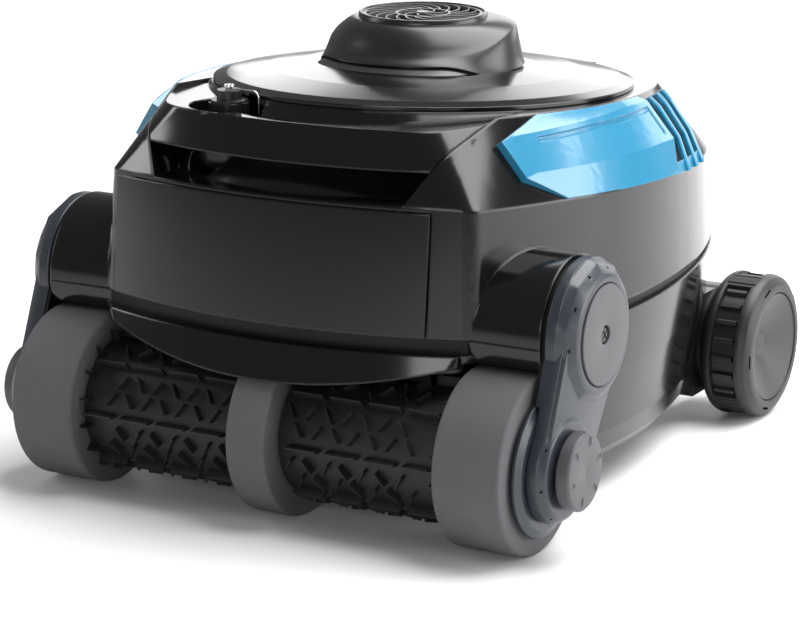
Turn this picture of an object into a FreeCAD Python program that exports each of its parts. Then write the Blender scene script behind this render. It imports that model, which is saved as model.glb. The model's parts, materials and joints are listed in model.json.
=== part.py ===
"""Robotic pool cleaner. Millimetres; X to the machine's right, Y to its rear, Z up.

The origin is on the floor under the centre of the body. The brush rollers are at the front (-Y).
"""
import FreeCAD, Part
import math
import os

V = FreeCAD.Vector

# --- driving dimensions: body outline -------------------------------------------------------------
HALF_WIDTH = 182.0          # body half width at the seam
HALF_LENGTH = 219.0         # body half length at the seam
FLANK_RADIUS = 466.0        # plan radius of the long sides
NOSE_RADIUS = 361.0         # plan radius of the front and rear
CORNER_RADIUS = 16.0        # plan radius where nose and flank meet
WALL = 3.2                  # moulded wall thickness

BELLY_Z = 20.0              # underside of the chassis
SEAM_LOW_Z = 130.5          # top of the chassis at the middle of the body
SEAM_LOW_TILT = 1.0         # degrees that the chassis rim climbs to the rear
SEAM_HIGH_Z = 137.0         # bottom of the upper shell
SHOULDER_Z = 207.5          # height of the shoulder crease at the middle of the body
TOP_TILT = 3.03             # degrees that the crease, rim and lid fall to the rear
SHOULDER_INSET = 6.0        # draft of the wall up to the crease
SHELL_TOP_Z = 262.5         # rim of the upper shell at the middle of the body
SHELL_TOP_HALF_WIDTH = 150.0
SHELL_TOP_HALF_LENGTH = 189.0
SHELL_TOP_FLANK_RADIUS = 310.0
SHELL_TOP_CORNER = 40.0
SHELL_TOP_REAR_LENGTH = 174.0
SHELL_TOP_REAR_CORNER = 95.0
SHELL_TOP_REAR_NOSE = 210.0
FASCIA_HALF_WIDTH = 112.0   # front panel between the upright creases
CHIN_HALF_LENGTH = 229.0    # apron under the nose
CHIN_HALF_WIDTH = 133.0
CHIN_BOTTOM_Z = 101.5
CHIN_ARCH = 494.0           # radius of its arched lower edge

# --- lid and outlet tower -------------------------------------------------------------------------
LID_CENTRE_Y = 4.0
LID_HALF_WIDTH = 141.8
LID_HALF_LENGTH = 163.0
LID_EDGE_Z = SHELL_TOP_Z + 3.0
LID_GAP = 0.3               # daylight between the rim and the closed lid
DOME_TOP_Z = 276.5
TOWER_TOP_Z = 312.0
TOWER_TOP_RADIUS = 44.6
TOWER_SKIRT_RADIUS = 71.0
OUTLET_RADIUS = 40.5
OPENING_HALF_WIDTH = 131.0
OPENING_HALF_LENGTH = 149.0
SKIRT_HALF_WIDTH = 129.0
SKIRT_HALF_LENGTH = 147.0
HINGE_Y = 172.5
HINGE_Z = SHELL_TOP_Z - 2.0
HINGE_PIN_RADIUS = 1.6
HINGE_BARREL_RADIUS = 3.4
TOWER_PROFILE = [           # outside of the tower, from the dome up: (radius, z)
    (62.0, 270.0), (68.0, 277.0), (TOWER_SKIRT_RADIUS, 281.5),
    (66.5, 295.5), (64.0, 297.8), (56.0, 301.0), (50.0, 305.0), (46.3, 309.5),
    (TOWER_TOP_RADIUS, TOWER_TOP_Z),
]

# --- rollers --------------------------------------------------------------------------------------
ROLLER_Y = -180.0
RING_RADIUS = 59.6          # foam rings carry the front of the machine
ROLLER_Z = RING_RADIUS
RING_INNER_X = 137.0
RING_OUTER_X = 185.0
CENTRE_RING_HALF = 14.6
BRUSH_RADIUS = 50.0
CORE_RADIUS = 38.0
SPINDLE_RADIUS = 5.0

# --- side pods and arms ---------------------------------------------------------------------------
POD_Y = -138.3
POD_Z = 138.8
POD_RADIUS = 50.0
POD_END_X = 187.0
ARM_X = 189.4               # inner face of the arm housings
ARM_OUTER_X = 209.4
HUB_RADIUS = 49.0
LOWER_HUB_RADIUS = 36.0
LOWER_HUB_X = 205.0
MOTOR_RADIUS = 20.0
MOTOR_PULLEY_RADIUS = 13.0
ROLLER_PULLEY_RADIUS = 19.5
PULLEY_X0 = 193.4
PULLEY_X1 = 201.4
SHAFT_RADIUS = 4.0
RUNNING_GAP = 0.06          # radial clearance of a shaft in its bore

# --- rear wheels ----------------------------------------------------------------------------------
WHEEL_Y = 186.4
WHEEL_RADIUS = 53.0
WHEEL_Z = WHEEL_RADIUS
WHEEL_INNER_X = 155.5
WHEEL_OUTER_X = 195.0
AXLE_RADIUS = 7.0

# --- recess, handle and port ----------------------------------------------------------------------
RECESS_FLOOR_Z = 221.0
RECESS_HALF_AT_FLOOR = 94.0
RECESS_END_SLOPE = 0.6
HANDLE_BOTTOM_Z = 241.5
HANDLE_TOP_Z = 265.5
PORT_X = -60.0
PORT_Y = -158.0
PORT_TUBE_RADIUS = 20.5
PORT_POCKET_RADIUS = 27.0

# --- side panels ----------------------------------------------------------------------------------
PANEL_PROUD = 4.5
PANEL_SIDE_VIEW = [         # (y, z) corners of the right panel seen from its side
    (-96, 268), (-138, 253.5), (-134, 231), (-103, 216), (40, 206.5), (131, 201),
    (136, 226), (112, 250), (80, 259), (16, 263),
]
VENT_CHEVRON = [(26, 262), (42, 249), (57, 226), (49, 205)]     # front edge of the first vent
VENT_WIDTH = 10.0
VENT_PITCH = 21.0
VENT_COUNT = 3

# --- inside the body ------------------------------------------------------------------------------
DRY_BOX_RADIUS = 50.0
DRY_BOX_BOTTOM = 23.2
DRY_BOX_TOP = 146.0
DUCT_INNER_RADIUS = 40.5
DUCT_OUTER_RADIUS = 43.5
DUCT_TOP_Z = 268.0
BASKET_HALF_WIDTH = 122.0
BASKET_HALF_LENGTH = 112.0
BASKET_BOTTOM = 36.0
BASKET_TOP = 240.0
BASKET_CORE_RADIUS = 54.0
MOUTH_X = (60.0, 97.0)      # each suction mouth runs from X0 to X1, on both sides
MOUTH_Y = (-52.0, -28.0)
MOUTH_Z = 39.0              # top of the throats, where the flaps rest
FLAP_HINGE_Y = MOUTH_Y[1] + 5.0
FLAP_HINGE_Z = MOUTH_Z + 3.0

FAR = 400.0                 # larger than the machine, for cutting tools


# --- helpers --------------------------------------------------------------------------------------
def box(x0, x1, y0, y1, z0, z1):
    return Part.makeBox(x1 - x0, y1 - y0, z1 - z0, V(x0, y0, z0))


def cyl_x(radius, x0, x1, y, z):
    """Cylinder along X between two X stations, given in either order."""
    low, high = min(x0, x1), max(x0, x1)
    return Part.makeCylinder(radius, high - low, V(low, y, z), V(1, 0, 0))


def cyl_z(radius, z0, z1, x=0.0, y=0.0):
    return Part.makeCylinder(radius, z1 - z0, V(x, y, z0), V(0, 0, 1))


def tube_z(outer, inner, z0, z1, x=0.0, y=0.0):
    return cyl_z(outer, z0, z1, x, y).cut(cyl_z(inner, z0 - 1, z1 + 1, x, y))


def revolve_x(points, y, z):
    """Solid of revolution about X: points are (x, radius) pairs of a closed outline."""
    wire = Part.makePolygon([V(x, y, z + r) for x, r in points + points[:1]])
    return Part.Face(wire).revolve(V(0, y, z), V(1, 0, 0), 360)


def revolve_z(points):
    """Solid of revolution about Z: points are (radius, z) pairs of a closed outline."""
    wire = Part.makePolygon([V(r, 0, z) for r, z in points + points[:1]])
    return Part.Face(wire).revolve(V(0, 0, 0), V(0, 0, 1), 360)


def mirror_x(shape):
    return shape.mirror(V(0, 0, 0), V(1, 0, 0))


def fuse_all(shapes):
    return shapes[0].multiFuse(shapes[1:]).removeSplitter()


def group(shapes):
    return Part.makeCompound(shapes)


def biggest(shape):
    return max(shape.Solids, key=lambda solid: solid.Volume)


def cut_slab(z0, z1):
    return box(-FAR, FAR, -FAR, FAR, z0, z1)


def arc(centre, radius, start, end, z):
    """Arc in a level plane from one angle to another (radians)."""
    def at(angle):
        return V(centre[0] + radius * math.cos(angle), centre[1] + radius * math.sin(angle), z)
    return Part.Arc(at(start), at((start + end) / 2), at(end)).toShape()


def corner_fit(half_width, half_length, corner, flank, nose):
    """Centre of the corner arc that touches the flank and nose arcs, and its two end angles."""
    side_centre = half_width - flank
    nose_centre = half_length - nose
    gap = math.hypot(side_centre, nose_centre)
    reach_side, reach_nose = flank - corner, nose - corner
    along = (reach_side ** 2 - reach_nose ** 2 + gap ** 2) / (2 * gap)
    off = math.sqrt(reach_side ** 2 - along ** 2)
    ux, uy = -side_centre / gap, nose_centre / gap
    cx = side_centre + along * ux - off * uy
    cy = along * uy + off * ux
    if cx < 0 or cy < 0:
        cx = side_centre + along * ux + off * uy
        cy = along * uy - off * ux
    return cx, cy, math.atan2(cy, cx - side_centre), math.atan2(cy - nose_centre, cx)


def plan_wire(half_width, half_length, corner, z, flank=FLANK_RADIUS, nose=NOSE_RADIUS, rear=None):
    """Four shallow arcs joined by corner arcs; rear is (half length, corner, nose) if it differs."""
    back_length, back_corner, back_nose = rear or (half_length, corner, nose)
    fx, fy, front_side, front_nose = corner_fit(half_width, half_length, corner, flank, nose)
    bx, by, back_side, back_end = corner_fit(half_width, back_length, back_corner, flank, back_nose)
    side, pi = half_width - flank, math.pi
    edges = [
        arc((side, 0), flank, -front_side, back_side, z),
        arc((bx, by), back_corner, back_side, back_end, z),
        arc((0, back_length - back_nose), back_nose, back_end, pi - back_end, z),
        arc((-bx, by), back_corner, pi - back_end, pi - back_side, z),
        arc((-side, 0), flank, pi - back_side, pi + front_side, z),
        arc((-fx, -fy), corner, pi + front_side, pi + front_nose, z),
        arc((0, nose - half_length), nose, pi + front_nose, 2 * pi - front_nose, z),
        arc((fx, -fy), corner, -front_nose, -front_side, z),
    ]
    return Part.Wire(edges)


def ellipse_wire(half_width, half_length, z, y=LID_CENTRE_Y):
    """Level ellipse whose longer axis may lie along X or Y."""
    if half_width >= half_length:
        curve = Part.Ellipse(V(half_width, y, z), V(0, y + half_length, z), V(0, y, z))
    else:
        curve = Part.Ellipse(V(0, y + half_length, z), V(-half_width, y, z), V(0, y, z))
    return Part.Wire([curve.toShape()])


def ellipse_prism(half_width, half_length, z0, z1, y=LID_CENTRE_Y):
    face = Part.Face(ellipse_wire(half_width, half_length, z0, y))
    return face.extrude(V(0, 0, z1 - z0))


def loft(wires, ruled=True):
    return Part.makeLoft(wires, True, ruled)


def tilted(shape, degrees, z):
    """Turn about the X direction through (0, 0, z); a positive angle lifts the rear."""
    turned = shape.copy()
    turned.rotate(V(0, 0, z), V(1, 0, 0), degrees)
    return turned


def level_with_lid(shape):
    """Lay a shape that was drawn level onto the sloping plane of the rim and lid."""
    return tilted(shape, -TOP_TILT, SHELL_TOP_Z)


# --- body envelopes -------------------------------------------------------------------------------
def wall_prism(inset):
    """Drafted wall of the upper shell, from under the seam to above the shoulder."""
    low = plan_wire(HALF_WIDTH - inset, HALF_LENGTH - inset, CORNER_RADIUS, SEAM_HIGH_Z - 20)
    rise = SHELL_TOP_Z + 30 - SEAM_HIGH_Z
    draft = SHOULDER_INSET * rise / (SHOULDER_Z - SEAM_HIGH_Z)
    high = plan_wire(
        HALF_WIDTH - inset - draft, HALF_LENGTH - inset - draft, CORNER_RADIUS, SHELL_TOP_Z + 30
    )
    return loft([low, high])


def shoulder_solid(inset):
    """Tilted cap: its faces run from outside the wall, over the crease, in to the flat rim."""
    low_z, top_z = SHOULDER_Z, SHELL_TOP_Z
    crease_half = (HALF_WIDTH - SHOULDER_INSET - inset, HALF_LENGTH - SHOULDER_INSET - inset)
    top_half = (SHELL_TOP_HALF_WIDTH - inset, SHELL_TOP_HALF_LENGTH - inset)
    crease = plan_wire(crease_half[0], crease_half[1], CORNER_RADIUS, low_z)
    rear = (SHELL_TOP_REAR_LENGTH - inset, SHELL_TOP_REAR_CORNER, SHELL_TOP_REAR_NOSE)
    top = plan_wire(top_half[0], top_half[1], SHELL_TOP_CORNER, top_z,
                    flank=SHELL_TOP_FLANK_RADIUS, rear=rear)
    foot = plan_wire(crease_half[0] + 60, crease_half[1] + 60, CORNER_RADIUS, SEAM_HIGH_Z - 45)
    crease = tilted(crease, -TOP_TILT, SHOULDER_Z)
    foot = tilted(foot, -TOP_TILT, SEAM_HIGH_Z - 45)
    top = tilted(top, -TOP_TILT, SHELL_TOP_Z)
    upper = loft([crease, top])
    lower = loft([foot, crease])
    return upper.fuse(lower)


def shell_envelope(inset):
    """Outside of the upper shell, or its inside when inset by the wall."""
    solid = wall_prism(inset).common(shoulder_solid(inset))
    roof = level_with_lid(box(-FAR, FAR, -FAR, FAR, SHELL_TOP_Z - inset, FAR))
    floor = box(-FAR, FAR, -FAR, FAR, 0, SEAM_HIGH_Z)
    return solid.cut(roof).cut(floor)


def chassis_envelope(inset):
    """Outside of the lower chassis, or its inside when inset by the wall."""
    sections = (
        (150.0, 186.0, BELLY_Z + inset),
        (161.0, 197.0, BELLY_Z + 3.5 + inset),
        (168.0, 204.0, BELLY_Z + 12.0 + inset),
        (171.5, 208.0, BELLY_Z + 26.0 + inset),
        (177.0, 213.5, 90.0),
        (181.6, 218.6, SEAM_HIGH_Z + 1.0),
    )
    wires = [plan_wire(w - inset, l - inset, CORNER_RADIUS, z) for w, l, z in sections]
    return loft(wires)


def above_chassis_rim():
    cutter = box(-FAR, FAR, -FAR, FAR, SEAM_LOW_Z, SEAM_LOW_Z + FAR)
    return tilted(cutter, SEAM_LOW_TILT, SEAM_LOW_Z)


def roller_bay(extra):
    """Space swept by the rollers, grown by extra: side rings, brushes and the centre ring."""
    brush = cyl_x(BRUSH_RADIUS + 6.5 + extra, -134, 134, ROLLER_Y, ROLLER_Z)
    centre = cyl_x(RING_RADIUS + 2.5 + extra, -17 - extra, 17 + extra, ROLLER_Y, ROLLER_Z)
    rings = [cyl_x(RING_RADIUS + 3.0 + extra, s * (134 - extra), s * FAR, ROLLER_Y, ROLLER_Z)
             for s in (-1, 1)]
    ahead = box(-FAR, FAR, -FAR, ROLLER_Y, -FAR, ROLLER_Z + 30)
    return fuse_all([brush, centre] + rings + [ahead])


def pod(inset):
    """Cylinder that carries a drive motor, from inside the body to the arm."""
    right = cyl_x(POD_RADIUS - inset, 118.0 + inset, POD_END_X - inset, POD_Y, POD_Z)
    return fuse_all([right, mirror_x(right)])


# --- recess and handle ----------------------------------------------------------------------------
def recess_span(inset):
    """Slanted-end block over the nose that the recess and the handle share."""
    def half(z):
        return RECESS_HALF_AT_FLOOR + RECESS_END_SLOPE * (z - RECESS_FLOOR_Z) - inset
    low, high = RECESS_FLOOR_Z + inset, SHELL_TOP_Z + 30
    points = [V(-half(low), -FAR, low), V(half(low), -FAR, low)]
    points += [V(half(high), -FAR, high), V(-half(high), -FAR, high)]
    return Part.Face(Part.makePolygon(points + points[:1])).extrude(V(0, FAR, 0))


def recess_back(inset):
    """Body behind the recess: a slanted wall that rises to the front edge of the lid."""
    low = ellipse_wire(178.0 - inset, 207.0 - inset, RECESS_FLOOR_Z - 4)
    half = (LID_HALF_WIDTH + 1.5 - inset, LID_HALF_LENGTH + 0.8 - inset)
    high = level_with_lid(ellipse_wire(half[0], half[1], SHELL_TOP_Z - 1))
    top = level_with_lid(ellipse_prism(half[0], half[1], SHELL_TOP_Z - 1, SHELL_TOP_Z + 40))
    return loft([low, high]).fuse(top)


def port_pocket(inset):
    return cyl_z(PORT_POCKET_RADIUS + inset, RECESS_FLOOR_Z - inset, FAR, PORT_X, PORT_Y)


def recess(inset):
    """The hollow over the nose, grown by inset on every face."""
    scoop = recess_span(-inset).cut(recess_back(inset))
    return scoop.fuse(port_pocket(inset))


def carry_handle():
    body = shell_envelope(0.8).common(recess_span(0.7))
    body = body.cut(box(-FAR, FAR, -FAR, FAR, 0, HANDLE_BOTTOM_Z))
    body = body.cut(box(-FAR, FAR, -FAR, FAR, HANDLE_TOP_Z, FAR))
    body = body.cut(box(-FAR, FAR, -96, FAR, 0, FAR))
    finger_gap = ellipse_prism(99.0, 117.0, 0, FAR, y=-70.0)
    body = biggest(body.cut(finger_gap).cut(port_pocket(0)).cut(recess_back(-0.6)))
    return fuse_all([body] + [handle_peg(side) for side in (-1, 1)])


def handle_peg(side):
    """Peg at each end of the handle that passes through the wall of the recess."""
    return cyl_x(4.0, side * 106, side * 120, -150, 254)


# --- casings --------------------------------------------------------------------------------------
def fascia_window(inset):
    """Front panel between the two upright creases, from the seam up to the shoulder crease."""
    half = FASCIA_HALF_WIDTH - inset
    upright = box(-half, half, -FAR, -150, SEAM_HIGH_Z - 1, FAR)
    return upright.cut(tilted(cut_slab(SHOULDER_Z - inset, FAR), -TOP_TILT, SHOULDER_Z))


def upper_shell():
    outer = shell_envelope(0).fuse(pod(0).common(box(-FAR, FAR, -FAR, FAR, SEAM_HIGH_Z, FAR)))
    outer = outer.cut(recess(0))
    inner = shell_envelope(WALL).cut(recess(WALL))
    inner = inner.fuse(pod(WALL))
    inner = inner.fuse(cut_slab(SEAM_HIGH_Z - 5, SEAM_HIGH_Z + 0.01).common(wall_prism(WALL)))
    shell = outer.cut(inner)
    block = level_with_lid(box(-56, 56, HINGE_Y - 12, HINGE_Y + 20, HINGE_Z - 8, SHELL_TOP_Z + 5))
    shell = shell.fuse(block.common(shell_envelope(0)))
    trough = box(-54, 54, HINGE_Y - 7, HINGE_Y + 30, HINGE_Z - HINGE_BARREL_RADIUS - 0.4, FAR)
    shell = shell.cut(level_with_lid(trough))
    shell = shell.cut(ellipse_prism(OPENING_HALF_WIDTH, OPENING_HALF_LENGTH, 225, FAR))
    shell = shell.cut(latch_slot()).cut(handle_peg(1)).cut(handle_peg(-1))
    skin = shell_envelope(-5).cut(shell_envelope(1.6))
    shell = shell.cut(skin.common(fascia_window(0)))
    for side in (-1, 1):
        shell = shell.cut(cyl_x(5.5, side * 150, side * 200, POD_Y, POD_Z))
    return biggest(shell)


def front_fascia():
    panel = shell_envelope(0).cut(shell_envelope(1.6)).common(fascia_window(0.5))
    return biggest(panel)


def lower_chassis():
    pods_low = pod(0).cut(cut_slab(SEAM_HIGH_Z, FAR))
    outer = chassis_envelope(0).cut(above_chassis_rim()).fuse(pods_low)
    outer = outer.cut(roller_bay(0))
    inner = chassis_envelope(WALL).cut(roller_bay(WALL))
    inner = inner.fuse(pod(WALL).cut(roller_bay(WALL)))
    chassis = outer.cut(inner).fuse(chin())
    for side in (-1, 1):
        x0, x1 = sorted((side * MOUTH_X[0], side * MOUTH_X[1]))
        chassis = chassis.cut(box(x0, x1, MOUTH_Y[0], MOUTH_Y[1], 0, 40))
        chassis = chassis.cut(cyl_x(5.5, side * 150, side * 200, POD_Y, POD_Z))
    return biggest(chassis)


def chin():
    """Apron under the nose that flares forward over the centre ring, with an arched lower edge."""
    low = plan_wire(172.0, CHIN_HALF_LENGTH, CORNER_RADIUS, CHIN_BOTTOM_Z - 3)
    high = plan_wire(181.6, 218.6, CORNER_RADIUS, SEAM_HIGH_Z + 1)
    apron = loft([low, high]).cut(roller_bay(0))
    apron = apron.cut(chassis_envelope(WALL)).cut(above_chassis_rim())
    apron = apron.common(box(-CHIN_HALF_WIDTH, CHIN_HALF_WIDTH, -FAR, -150, 0, FAR))
    crown = CHIN_BOTTOM_Z + CHIN_ARCH
    arch = Part.makeCylinder(CHIN_ARCH, FAR, V(0, -FAR, crown), V(0, 1, 0))
    return apron.cut(box(-FAR, FAR, -FAR, 0, 0, crown).cut(arch))


def seam_band():
    """Dark recessed ring between chassis and upper shell."""
    ring = chassis_envelope(2.6).cut(chassis_envelope(WALL + 3.0))
    ring = ring.common(above_chassis_rim()).cut(cut_slab(SEAM_HIGH_Z, FAR))
    ring = ring.cut(pod(-0.2)).cut(roller_bay(0))
    return ring


# --- handle and port pieces -----------------------------------------------------------------------
def port_tube():
    cup = cyl_z(PORT_TUBE_RADIUS, 223, 250, PORT_X, PORT_Y)
    cup = cup.makeFillet(9.0, [e for e in cup.Edges if abs(e.BoundBox.ZMax - 223) < 0.01])
    cup = cup.fuse(cyl_z(9.0, RECESS_FLOOR_Z, 224, PORT_X, PORT_Y)).removeSplitter()
    return cup.cut(cyl_z(9.0 + RUNNING_GAP, 236, 251, PORT_X, PORT_Y))


def port_cap():
    """Ribbed bayonet cap with a round boss and a stem that turns in the tube."""
    pieces = [cyl_z(12.2, 250.4, 269.5, PORT_X, PORT_Y)]
    pieces.append(cyl_z(8.2, 269.5, 276.0, PORT_X, PORT_Y))
    pieces.append(cyl_z(9.0, 238, 251, PORT_X, PORT_Y))
    pieces.append(cyl_z(15.0, 250.4, 253.0, PORT_X, PORT_Y))
    for i in range(8):
        rib = box(11.0, 13.6, -2.4, 2.4, 250.4, 268.0)
        rib.rotate(V(0, 0, 0), V(0, 0, 1), 45.0 * i)
        rib.translate(V(PORT_X, PORT_Y, 0))
        pieces.append(rib)
    return fuse_all(pieces)


def port_bail():
    """Stainless screw on the cap and the wire that it holds."""
    return group([port_screw(), port_wire()])


def port_screw():
    head = cyl_z(3.4, 277.2, 279.4, PORT_X, PORT_Y)
    washer = cyl_z(2.2, 276.0, 277.2, PORT_X, PORT_Y)
    return head.fuse(washer).removeSplitter()


def port_wire():
    """Thin bent wire: out from under the screw, then down beside the cap."""
    reach, bend, drop, level = 23.0, 5.0, 252.0, 276.7
    start = V(PORT_X + 2.2, PORT_Y, level)
    corner_a = V(PORT_X + reach - bend, PORT_Y, level)
    mid = V(PORT_X + reach - bend * 0.293, PORT_Y, level - bend * 0.293)
    corner_b = V(PORT_X + reach, PORT_Y, level - bend)
    edges = [Part.makeLine(start, corner_a), Part.Arc(corner_a, mid, corner_b).toShape()]
    edges.append(Part.makeLine(corner_b, V(PORT_X + reach, PORT_Y, drop)))
    profile = Part.Wire(Part.makeCircle(0.5, start, V(1, 0, 0)))
    return Part.Wire(edges).makePipeShell([profile], True, False)


def latch_button():
    """Push button in the recess wall that frees the lid."""
    stem = box(-20, -6, -171.0, -156.5, 256.0, 260.0)
    flange = box(-22, -4, -157.0, -155.2, 254.2, 261.8)
    return stem.fuse(flange).removeSplitter()


def latch_slot():
    """Passage of the latch button through the recess wall, with room for its flange."""
    return box(-20.4, -5.6, -190, -150, 255.6, 260.4).fuse(
        box(-22.6, -3.4, -161.0, -145, 253.4, 262.6))


# --- side panels ----------------------------------------------------------------------------------
def side_prism(points):
    """Prism through the right half of the body from a side-view outline."""
    wire = Part.makePolygon([V(90, y, z) for y, z in points + points[:1]])
    return Part.Face(wire).extrude(V(FAR, 0, 0))


def vent_slots():
    slots = []
    for i in range(VENT_COUNT):
        lead = [(y + 6 + VENT_PITCH * i, z - 1.5 * i) for y, z in VENT_CHEVRON]
        trail = [(y + VENT_WIDTH, z) for y, z in reversed(lead)]
        slots.append(side_prism(lead + trail))
    return slots


def vent_insert():
    """Thin black louvre tray behind the vents of the side panel."""
    tray = side_prism([(34, 256), (62, 224), (56, 211), (122, 206), (126, 226), (104, 246), (78, 254)])
    return biggest(shell_envelope(-1.2).cut(shell_envelope(0)).common(tray))


def side_panel():
    panel = shell_envelope(-PANEL_PROUD).cut(shell_envelope(0))
    panel = panel.common(side_prism(PANEL_SIDE_VIEW)).cut(vent_insert())
    inner = side_prism([(-300, 260.0), (300, 241.0), (300, 207.0), (-300, 222.0)])
    for slot in vent_slots():
        panel = panel.cut(slot.common(inner))
    return biggest(panel)


# --- lid (drawn level, then laid on the sloping rim) ----------------------------------------------
def lid_solid(inset):
    """Low dome on an upright edge, drawn level."""
    w, l = LID_HALF_WIDTH - inset, LID_HALF_LENGTH - inset
    rim = ellipse_prism(w, l, SHELL_TOP_Z + LID_GAP - inset, LID_EDGE_Z - inset)
    sections = [ellipse_wire(w, l, LID_EDGE_Z - inset)]
    sections.append(ellipse_wire(w - 9, l - 9, LID_EDGE_Z + 2.6 - inset))
    sections.append(ellipse_wire(w - 36, l - 42, LID_EDGE_Z + 7.4 - inset))
    sections.append(ellipse_wire(80 - inset, 80.01 - inset, DOME_TOP_Z - inset, y=0))
    return rim.fuse(loft(sections))


def lid_ring(outer, inner, z0, z1):
    """Band under the lid between two insets from the skirt outline."""
    ring = ellipse_prism(SKIRT_HALF_WIDTH - outer, SKIRT_HALF_LENGTH - outer, z0, z1)
    return ring.cut(ellipse_prism(SKIRT_HALF_WIDTH - inner, SKIRT_HALF_LENGTH - inner, z0 - 1, z1 + 1))


def lid_dome():
    under = SHELL_TOP_Z + LID_GAP
    shell = lid_solid(0).cut(lid_solid(3.0))
    skirt = lid_ring(0, 3, SHELL_TOP_Z - 9, LID_EDGE_Z)
    ledge = ellipse_prism(LID_HALF_WIDTH, LID_HALF_LENGTH, under, under + 2.0)
    ledge = ledge.cut(ellipse_prism(SKIRT_HALF_WIDTH - 3, SKIRT_HALF_LENGTH - 3, 200, FAR))
    pieces = [shell, skirt, ledge]
    for side in (-1, 1):
        low, high = sorted((side * 28, side * 44))
        pieces.append(cyl_x(HINGE_BARREL_RADIUS, low, high, HINGE_Y, HINGE_Z))
        arm = box(low, high, HINGE_Y - 22, HINGE_Y, under, under + 1.1)
        pieces.append(arm)
    dome = fuse_all(pieces)
    dome = dome.cut(cyl_x(HINGE_PIN_RADIUS + RUNNING_GAP, -60, 60, HINGE_Y, HINGE_Z))
    dome = level_with_lid(biggest(dome))
    return biggest(dome.cut(cyl_z(OUTLET_RADIUS, 240, FAR)))


def lid_seal():
    return level_with_lid(lid_ring(-1.3, 0, SHELL_TOP_Z - 7, SHELL_TOP_Z - 3.5))


def hinge_ears():
    """Two forked lugs in the trough behind the lid."""
    pieces = []
    foot = HINGE_Z - HINGE_BARREL_RADIUS - 0.4
    for side in (-1, 1):
        for x0, x1 in ((21.0, 27.6), (44.4, 51.0)):
            low, high = sorted((side * x0, side * x1))
            ear = box(low, high, HINGE_Y - 3.4, HINGE_Y + 3.4, foot, HINGE_Z)
            ear = ear.fuse(cyl_x(HINGE_BARREL_RADIUS, low, high, HINGE_Y, HINGE_Z))
            pieces.append(ear.cut(cyl_x(HINGE_PIN_RADIUS, -60, 60, HINGE_Y, HINGE_Z)).removeSplitter())
    return level_with_lid(group(pieces))


def hinge_pins():
    pins = [cyl_x(HINGE_PIN_RADIUS, s * 21, s * 51, HINGE_Y, HINGE_Z) for s in (-1, 1)]
    return level_with_lid(group(pins))


def outlet_tower():
    inside = [(OUTLET_RADIUS + 1.5, TOWER_TOP_Z), (OUTLET_RADIUS + 1.5, 308.0),
              (OUTLET_RADIUS, 308.0), (OUTLET_RADIUS, 270.0)]
    skin = revolve_z(TOWER_PROFILE + inside)
    hollow = [(43.5, 268.0), (59.5, 268.0), (65.5, 277.0), (68.0, 282.0), (63.8, 294.0),
              (54.5, 298.5), (43.5, 303.0)]
    return biggest(skin.cut(revolve_z(hollow)).cut(level_with_lid(lid_solid(0))))


def vane(r0, r1, start, twist, thick, z0, z1):
    """Curved grille bar from radius r0 to r1 that sweeps round by twist degrees."""
    def at(radius, share, edge):
        angle = math.radians(start + twist * share) + edge * thick / radius / 2
        return V(radius * math.cos(angle), radius * math.sin(angle), z0)
    middle = (r0 + r1) / 2
    left = Part.Arc(at(r0, 0, -1), at(middle, 0.42, -1), at(r1, 1, -1)).toShape()
    right = Part.Arc(at(r1, 1, 1), at(middle, 0.42, 1), at(r0, 0, 1)).toShape()
    edges = [left, Part.makeLine(at(r1, 1, -1), at(r1, 1, 1)), right]
    edges.append(Part.makeLine(at(r0, 0, 1), at(r0, 0, -1)))
    return Part.Face(Part.Wire(edges)).extrude(V(0, 0, z1 - z0))


def outlet_grille():
    z0, z1 = 308.0, 311.0
    bars = [tube_z(OUTLET_RADIUS + 1.5, OUTLET_RADIUS - 1.0, z0, z1)]
    bars.append(tube_z(19.2, 17.6, z0, z1))
    bars.append(cyl_z(4.6, z0, z1 + 0.6))
    for i in range(18):
        bars.append(vane(18.4, OUTLET_RADIUS - 0.5, 20.0 * i, 48.0, 1.3, z0, z1))
    for i in range(7):
        bars.append(vane(4.0, 18.4, 360.0 / 7 * i, 55.0, 1.3, z0, z1))
    return fuse_all(bars)


# --- arms, drive and rollers (right-hand side; the left is the mirror image) ----------------------
def convex_pair(r0, y0, z0, r1, y1, z1, x0, x1):
    """Two discs and the tangent web between them, as one plate along X."""
    dy, dz = y1 - y0, z1 - z0
    gap = math.hypot(dy, dz)
    lean = math.acos((r0 - r1) / gap)
    base = math.atan2(dz, dy)
    corners = []
    for turn in (lean, -lean):
        c, s = math.cos(base + turn), math.sin(base + turn)
        corners.append((V(x0, y0 + r0 * c, z0 + r0 * s), V(x0, y1 + r1 * c, z1 + r1 * s)))
    (a, b), (d, c) = corners
    web = Part.Face(Part.makePolygon([a, b, c, d, a])).extrude(V(x1 - x0, 0, 0))
    discs = [cyl_x(r0, x0, x1, y0, z0), cyl_x(r1, x0, x1, y1, z1)]
    return fuse_all([web] + discs)


def arm_outline(shrink, x0, x1):
    return convex_pair(HUB_RADIUS - 7 - shrink, POD_Y, POD_Z,
                       LOWER_HUB_RADIUS - 3 - shrink, ROLLER_Y, ROLLER_Z, x0, x1)


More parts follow.
